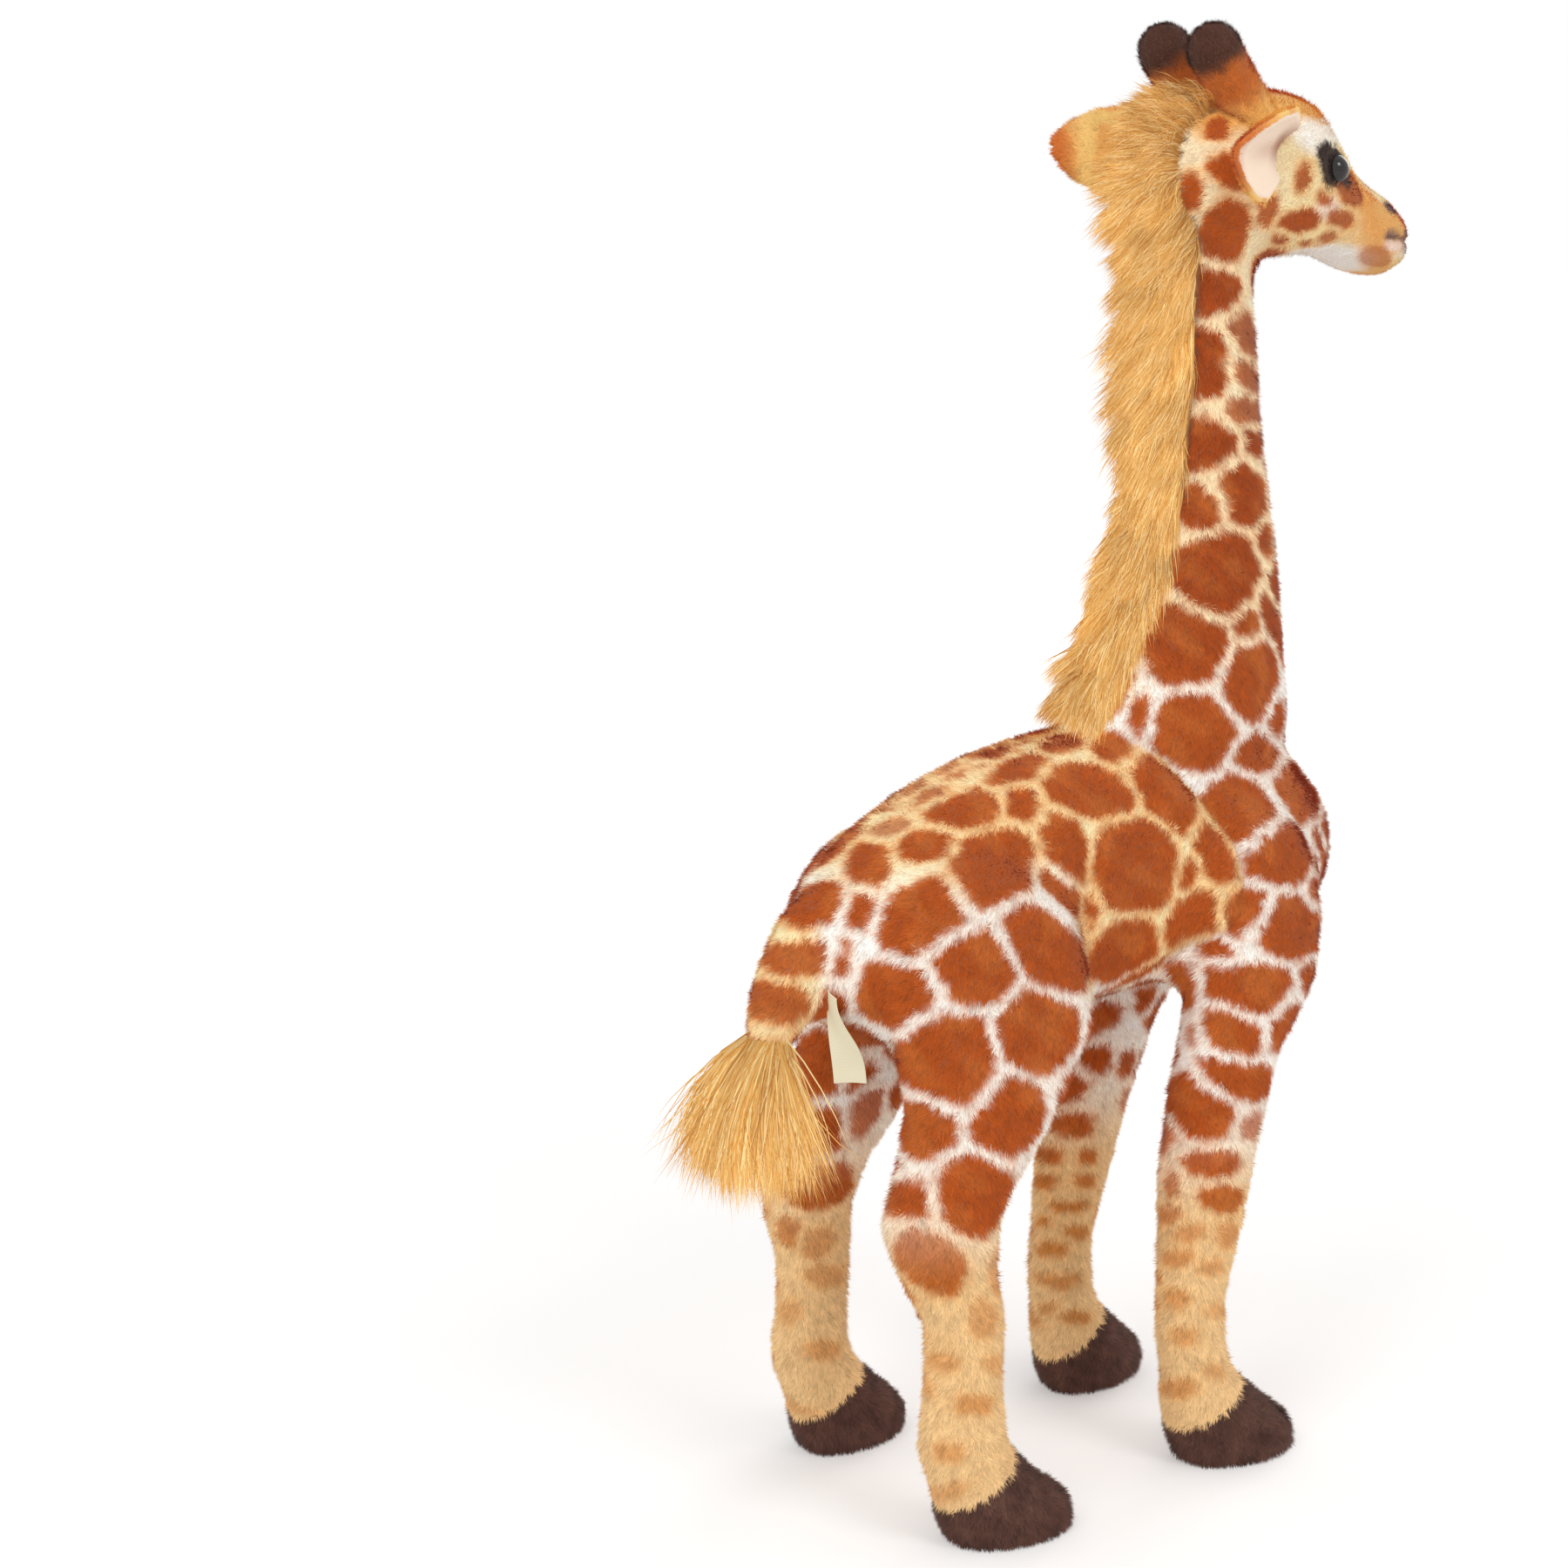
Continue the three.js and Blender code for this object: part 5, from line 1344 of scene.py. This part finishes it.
for number, (side, sign) in enumerate(SIDES.items()):
    name = "ear_" + side
    nodes = [name + "_back", name + "_lining"]
    ear = stuffed(merged_copy(name + "_plush", *nodes), 0.0009, 0.0009, 0.0005, 5)
    points = points_of(ear)
    lined = smooth(-0.0003, 0.0003, off_node(points, nodes[0]) - off_node(points, nodes[1]))
    way, look, root = EAR_WAY * [sign, 1, 1], EAR_FACE * [sign, 1, 1], EAR_ROOT * [sign, 1, 1]
    out = (points - root) @ way / EAR_LONG
    rise = (points - root) @ unit(np.cross(look, way) * sign)
    colour = blended(ear_back_colour(points, out), ear_lining_with_fold_shade(points, out, rise), lined)
    keep_values(ear, "plush_colour", colour)
    keep_values(ear, "facing", facings_of(ear))
    keep_values(ear, "lined", lined)
    fur = pile(ear, name + "_pile", 520 * QUICK, 0.0034, FINE_LOCK, lambda roots: way, 160 + number,
        keep=lambda roots, facing, lined: (lined < 0.4) & (facing @ look < 0.3))
    sew_on(fur, "golden_plush", name)
    nap = pile(ear, name + "_nap", 420 * QUICK, 0.0011, FINE_LOCK, lambda roots: way, 165 + number, lean=76, tone=0.04,
        keep=lambda roots, facing, lined: lined > 0.6)
    sew_on(nap, "ear_lining_cloth", name)
    dress(ear, "golden_plush", nodes, name, finish=lining_finish)

# %% [markdown]
# ## Hooves
# The hooves are dark brown plush, closed by a flat sole. A seam up the front pulls them into two toes. Toes, heel and
# the rounded rim of the sole are dents of a few millimetres, so the points that the cut left are moved in code.

# %% Hooves
TOE_SEAM = 0.0028


def pressed_hoof(points, low, high):
    """The points of a hoof with its cleft, its rounded heel and its sole pressed in. Low and high are its box."""
    across = points[:, 0] - (low[0] + high[0]) / 2
    toe = smooth(low[1] + 0.034, low[1] + 0.004, points[:, 1])
    points[:, 1] += 0.0042 * hump(across, 0, TOE_SEAM) * toe * smooth(0.002, 0.010, points[:, 2])
    points[:, 2] -= 0.0018 * hump(across, 0, TOE_SEAM) * toe * smooth(0.012, 0.022, points[:, 2])
    heel = smooth(high[1] - 0.016, high[1], points[:, 1]) * (1 - smooth(0.004, 0.020, points[:, 2]))
    points[:, 1] -= 0.0045 * heel
    points[:, 2] -= 0.0030 * (1 - smooth(0.0045, 0.016, points[:, 2])) * (1 - 0.7 * heel)
    points[:, 2] = np.maximum(points[:, 2], 0.0004)
    return points


for number, (leg, hoof) in enumerate(hooves.items()):
    name = leg.replace("leg", "hoof")
    points = pressed_hoof(points_of(hoof), *np.array(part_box(name)))
    set_points(hoof, points)
    shade = 0.5 + 0.5 * ripple(points, 0.012, 40 + number)
    colour = blended(np.tile(np.array(dye(76, 50, 42)), (len(points), 1)), dye(94, 64, 54), shade)
    hoof.data.attributes.remove(hoof.data.attributes["plush_colour"])
    keep_values(hoof, "plush_colour", colour)
    fur = pile(hoof, name + "_pile", 420 * QUICK, 0.0046, 0.0006, brushed_body, 170 + number, lean=50, tone=0.22,
        keep=lambda roots, facing, lined: (roots[:, 2] > 0.003) & (facing[:, 2] > -0.75))
    sew_on(fur, "hoof_plush", leg)
    dress(hoof, "hoof_plush", [name], leg)

# %% [markdown]
# ## Eyes
# The eyes are glossy black safety eyes: a dome pressed on the cloth and a stem that goes through it to the washer
# behind. A sphere cut by a plane gives the dome with its flat back, and a cylinder joined to it the stem.

# %% Eyes
DOME_ROUND, DOME_SUNK = 0.00682, 0.0034
STEM_ROUND, STEM_LONG, STEM_SUNK = 0.0018, 0.0075, 0.0037
gloss_finish = Finish("black_gloss_plastic", Roughness=0.03, Specular_IOR_Level=0.45)
gloss_finish.cloud((0.006, 0.005, 0.005, 1), (0.016, 0.011, 0.009, 1), 120.0)


def turned_primitive(add, base, facing, sunk, **sizes):
    """A primitive with its axis along the way the eye looks, sunk in behind its base, and its place in its mesh."""
    unselect()
    add(location=base - facing * sunk, rotation=facing.to_track_quat("Z", "Y").to_euler(), **sizes)
    bpy.ops.object.transform_apply(location=True, rotation=True, scale=True)
    return bpy.context.object


for side, sign in SIDES.items():
    facing = Vector((sign * 0.961, -0.255, 0.111)).normalized()
    base = Vector((sign * 0.0318, -0.1322, 0.5742))
    dome = turned_primitive(bpy.ops.mesh.primitive_uv_sphere_add, base, facing, DOME_SUNK,
        segments=64, ring_count=48, radius=DOME_ROUND)
    eye = part_of(dome, "eye_" + side + "_dome", base, facing, True)
    drop(dome)
    turned_primitive(bpy.ops.mesh.primitive_cylinder_add, base, facing, STEM_SUNK,
        vertices=32, radius=STEM_ROUND, depth=STEM_LONG)
    eye.select_set(True)
    bpy.context.view_layer.objects.active = eye
    bpy.ops.object.join()
    pick(eye)
    bpy.ops.object.shade_smooth_by_angle(angle=math.radians(40))
    eye.data.materials.append(gloss_finish.material)
    sew_on(eye, "black_gloss", "head", stands_for=["eye_" + side])
print("eyes pressed in")

# %% [markdown]
# ## Label
# The label is a bare strip of woven ribbon, sewn in at the rump by its upper end. It hangs down and curls a little. A
# flat grid could be bent with modifiers, but its twist grows towards the free end, so its points are placed in code.

# %% Label
LABEL_WIDE, LABEL_HANG = 0.014, 0.0436
LABEL_TOP, DOWNWARDS = np.array([-0.0126, 0.1258, 0.2418]), np.array([0.0696, -0.1205, -0.9903])
label_finish = Finish("woven_ribbon", Roughness=0.7)
ribs = {"Vector": label_finish.place(), "Scale": 500.0}
weave = label_finish.make("ShaderNodeTexWave", {"bands_direction": "Z"}, ribs)[1]
label_finish.feed("Base Color", label_finish.tint(dye(240, 234, 206) + (1,), dye(224, 214, 178) + (1,), weave))
label_finish.bump(weave, 0.2, 0.0002)
unselect()
bpy.ops.mesh.primitive_grid_add(x_subdivisions=14, y_subdivisions=44, size=1, location=(0, 0, 0))
label = bpy.context.object
label.name = label.data.name = "label_ribbon"
flat = points_of(label)
share = 0.5 - flat[:, 1:2]
turn = np.radians(-18 + 68 * smooth(0.0, 0.9, share))
across = np.concatenate([np.cos(turn), np.sin(turn), 0.34 * share], 1)
across = unit(across - DOWNWARDS * (across * DOWNWARDS).sum(1, keepdims=True))
curl = 0.0016 * np.sin(share * 2.6) + 0.0005 * np.cos(flat[:, :1] * 5 + share * 3)
points = LABEL_TOP + (flat[:, :1] - 0.5) * LABEL_WIDE * across + share * LABEL_HANG * DOWNWARDS
set_points(label, points + curl * np.cross(across, DOWNWARDS))
worked(label, "SOLIDIFY", thickness=0.0005, offset=0)
label.data.materials.append(label_finish.material)
sew_on(label, "label_cloth", "torso", stands_for=["care_label"])
print("label", len(label.data.polygons), "faces")

# %% [markdown]
# ## Long fur
# The mane and the tail's tuft are a cloth with fibres a few centimetres long, cut in strips and sewn in. Each lock is
# a narrow ribbon that tapers to its tip. Locks leave the cloth steeply, then fall and run together in wisps. A physics
# run could settle them, but a curve from the way at the root to the way at the tip gives the same fall every time.

# %% Long locks
GOLDS = np.array([dye(228, 172, 94), dye(208, 146, 68), dye(246, 208, 144), dye(186, 122, 56)])
LOCK_STEPS, FUR_DEPTH = 4, 0.001


def long_locks(name, roots, facing, start, end, length, width, seed, wisp=0.007):
    """Long locks: start and end are their ways at root and tip, and locks within a wisp's width run together."""
    draw = np.random.default_rng(seed)
    count = len(roots)
    group = clumped(roots, 0.002, 0.01, wisp, seed)
    number = group.max() + 1
    centre = np.stack([np.bincount(group, roots[:, k], number) for k in range(3)], 1)
    centre /= np.bincount(group, minlength=number)[:, None]
    start = unit(start + draw.normal(size=(number, 3))[group] * 0.12 + draw.normal(size=(count, 3)) * 0.12)
    end = unit(end + draw.normal(size=(number, 3))[group] * 0.16 + draw.normal(size=(count, 3)) * 0.12)
    long = (length * draw.uniform(0.82, 1.12, number)[group] * draw.uniform(0.75, 1.08, count))[:, None]
    steps = []
    for share in np.linspace(0, 1, LOCK_STEPS + 1):
        fallen = 0.55 * share**2
        steps.append(roots - facing * FUR_DEPTH + long * ((share - fallen) * start + fallen * end)
            + (centre[group] - roots) * 0.5 * share**2)
    run = unit(steps[-1] - steps[0])
    side = draw.normal(size=(count, 3))
    side = unit(side - run * (side * run).sum(1, keepdims=True))
    shade = draw.random(count)
    tone = GOLDS[np.searchsorted([0.45, 0.7, 0.9], shade)] * (1 + 0.10 * draw.normal(size=number)[group])[:, None]
    print(name, count, "locks")
    return locks(name, roots, facing, np.clip(tone, 0, 1), steps, width, side, fur_finish, rounded=True)


print("long locks can be made")

# %% [markdown]
# ## Mane and crest
# The mane is sewn into the seam at the back of the neck and stands up before it falls. It is grown in a lower and an
# upper half, one for each half of the neck, and the crest on the head. On the crown it stands nearly straight.

# %% Mane and crest
def strip_roots(form, low, high, count, seed):
    """Random roots on the back of the neck and head, in a strip along the middle."""
    draw = np.random.default_rng(seed)
    found = []
    while len(found) < count:
        across, height = MANE_HALF * draw.uniform(-1, 1), draw.uniform(low, high)
        place, facing, _, _ = form.ray_cast(Vector((across, 0.3, height)), Vector((0, -1, 0)))
        if place is not None:
            found.append((*place, *facing))
    found = np.array(found)
    return found[:, :3], found[:, 3:]


def mane_ways(roots, facing, back, fall):
    """The ways of a mane lock at its root and its tip: out of the cloth, then back and down beside the neck."""
    sideways = roots[:, :1] / MANE_HALF * np.array([[0.30, 0, 0]])
    return facing * 0.55 + np.array([0, back, -fall]) * 0.6 + sideways, np.array([0, back, -fall]) + sideways * 0.8


MANE_PER_M, MANE_LOCK = 88000 * QUICK, 0.0006
MANE_PARTS = {
    "mane_lower": (NECK_CUT, NAPE_CUT, "neck_lower", 0.34, 0.94, 0.029),
    "mane_upper": (NAPE_CUT, 0.547, "neck_upper", 0.55, 0.82, 0.035),
}
for number, (name, (low, high, like, back, fall, long)) in enumerate(MANE_PARTS.items()):
    roots, facing = strip_roots(body_tree, low, high, int((high - low) * MANE_PER_M), 200 + number)
    fur = long_locks(name, roots, facing, *mane_ways(roots, facing, back, fall), long, MANE_LOCK, 210 + number)
    sew_on(fur, "mane_fur", *NECK_BENDS[like], stands_for=["neck_mane"])

roots, facing = strip_roots(head_tree, 0.540, 0.606, int(7600 * QUICK), 220)
rise = smooth(0.56, 0.60, roots[:, 2])[:, None]
start, end = mane_ways(roots, facing, 0.8, 0.6)
start, end, long = start + rise * [0, 0, 0.7], end + rise * [0, 0, 0.55], 0.030 - 0.007 * rise[:, 0]
fur = long_locks("crest_fur", roots, facing, start, end, long, MANE_LOCK, 221)
sew_on(fur, "mane_fur", *NOD_BEND, stands_for=["head_mane"])

# %% [markdown]
# ## Tuft of the tail
# The tuft is a roll of the same long fur, sewn round the tip of the tail. Its locks start in rings round the tail and
# fan out as they fall, the rear ones most.

# %% Tuft of the tail
draw = np.random.default_rng(230)
count = int(7000 * QUICK)
turn, rise = draw.uniform(0, 2 * math.pi, count), draw.random(count)
ring = np.stack([np.cos(turn), np.sin(turn) * 0.9, np.zeros(count)], 1)
tail_way = unit(np.array([0, 0.30, -0.95]))
roots = np.array([0, 0.1475, 0.2215]) + ring * (0.0105 - 0.006 * rise[:, None]) + tail_way * (rise * 0.018)[:, None]
facing = unit(ring + tail_way * 0.4)
behind = smooth(-0.4, 0.9, ring[:, 1])
start = ring * [0.36, 0.45, 0] + tail_way * 0.9 + behind[:, None] * [0, 0.36, 0]
end = np.array([0, 0, -1.0]) + draw.normal(size=(count, 3)) * [0.16, 0.08, 0.1] + behind[:, None] * [0, 0.04, 0]
long = 0.068 + 0.003 * behind - 0.014 * rise
fur = long_locks("tail_tuft_fur", roots, facing, start, end, long, 0.00065, 231, wisp=0.006)
sew_on(fur, "mane_fur", "tail", stands_for=["tail_tuft"])

# %% [markdown]
# ## What stays hidden
# The wires and washers inside aren't seen, but the toy has them. Their CAD forms are already as they should be, so
# they only get finishes: drawn steel and white plastic.

# %% Wires and washers
steel_finish = Finish("drawn_steel", Metallic=1.0, Roughness=0.35)
steel_finish.cloud((0.52, 0.53, 0.54, 1), (0.66, 0.67, 0.68, 1), 400.0)
washer_finish = Finish("washer_plastic", Roughness=0.5)
washer_finish.cloud((0.84, 0.84, 0.82, 1), (0.9, 0.9, 0.88, 1), 300.0)
for ending, slot, finish in (("_wire", "wire_steel", steel_finish), ("_washer", "washer_plastic", washer_finish)):
    for name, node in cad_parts.items():
        if name.endswith(ending):
            node.data.materials.clear()
            node.data.materials.append(finish.material)
print("finishes on the hidden parts")

# %% [markdown]
# ## Pieces and faces
# The pieces that are shown are counted, with their faces. Cloth may stand a little proud of the CAD model, but not
# by much.

# %% Pieces and faces
bpy.context.view_layer.update()
shown = [o for o in scene.objects if o.type == "MESH" and not o.hide_render]
print(len(shown), "pieces shown,", sum(len(o.data.polygons) for o in shown), "faces")
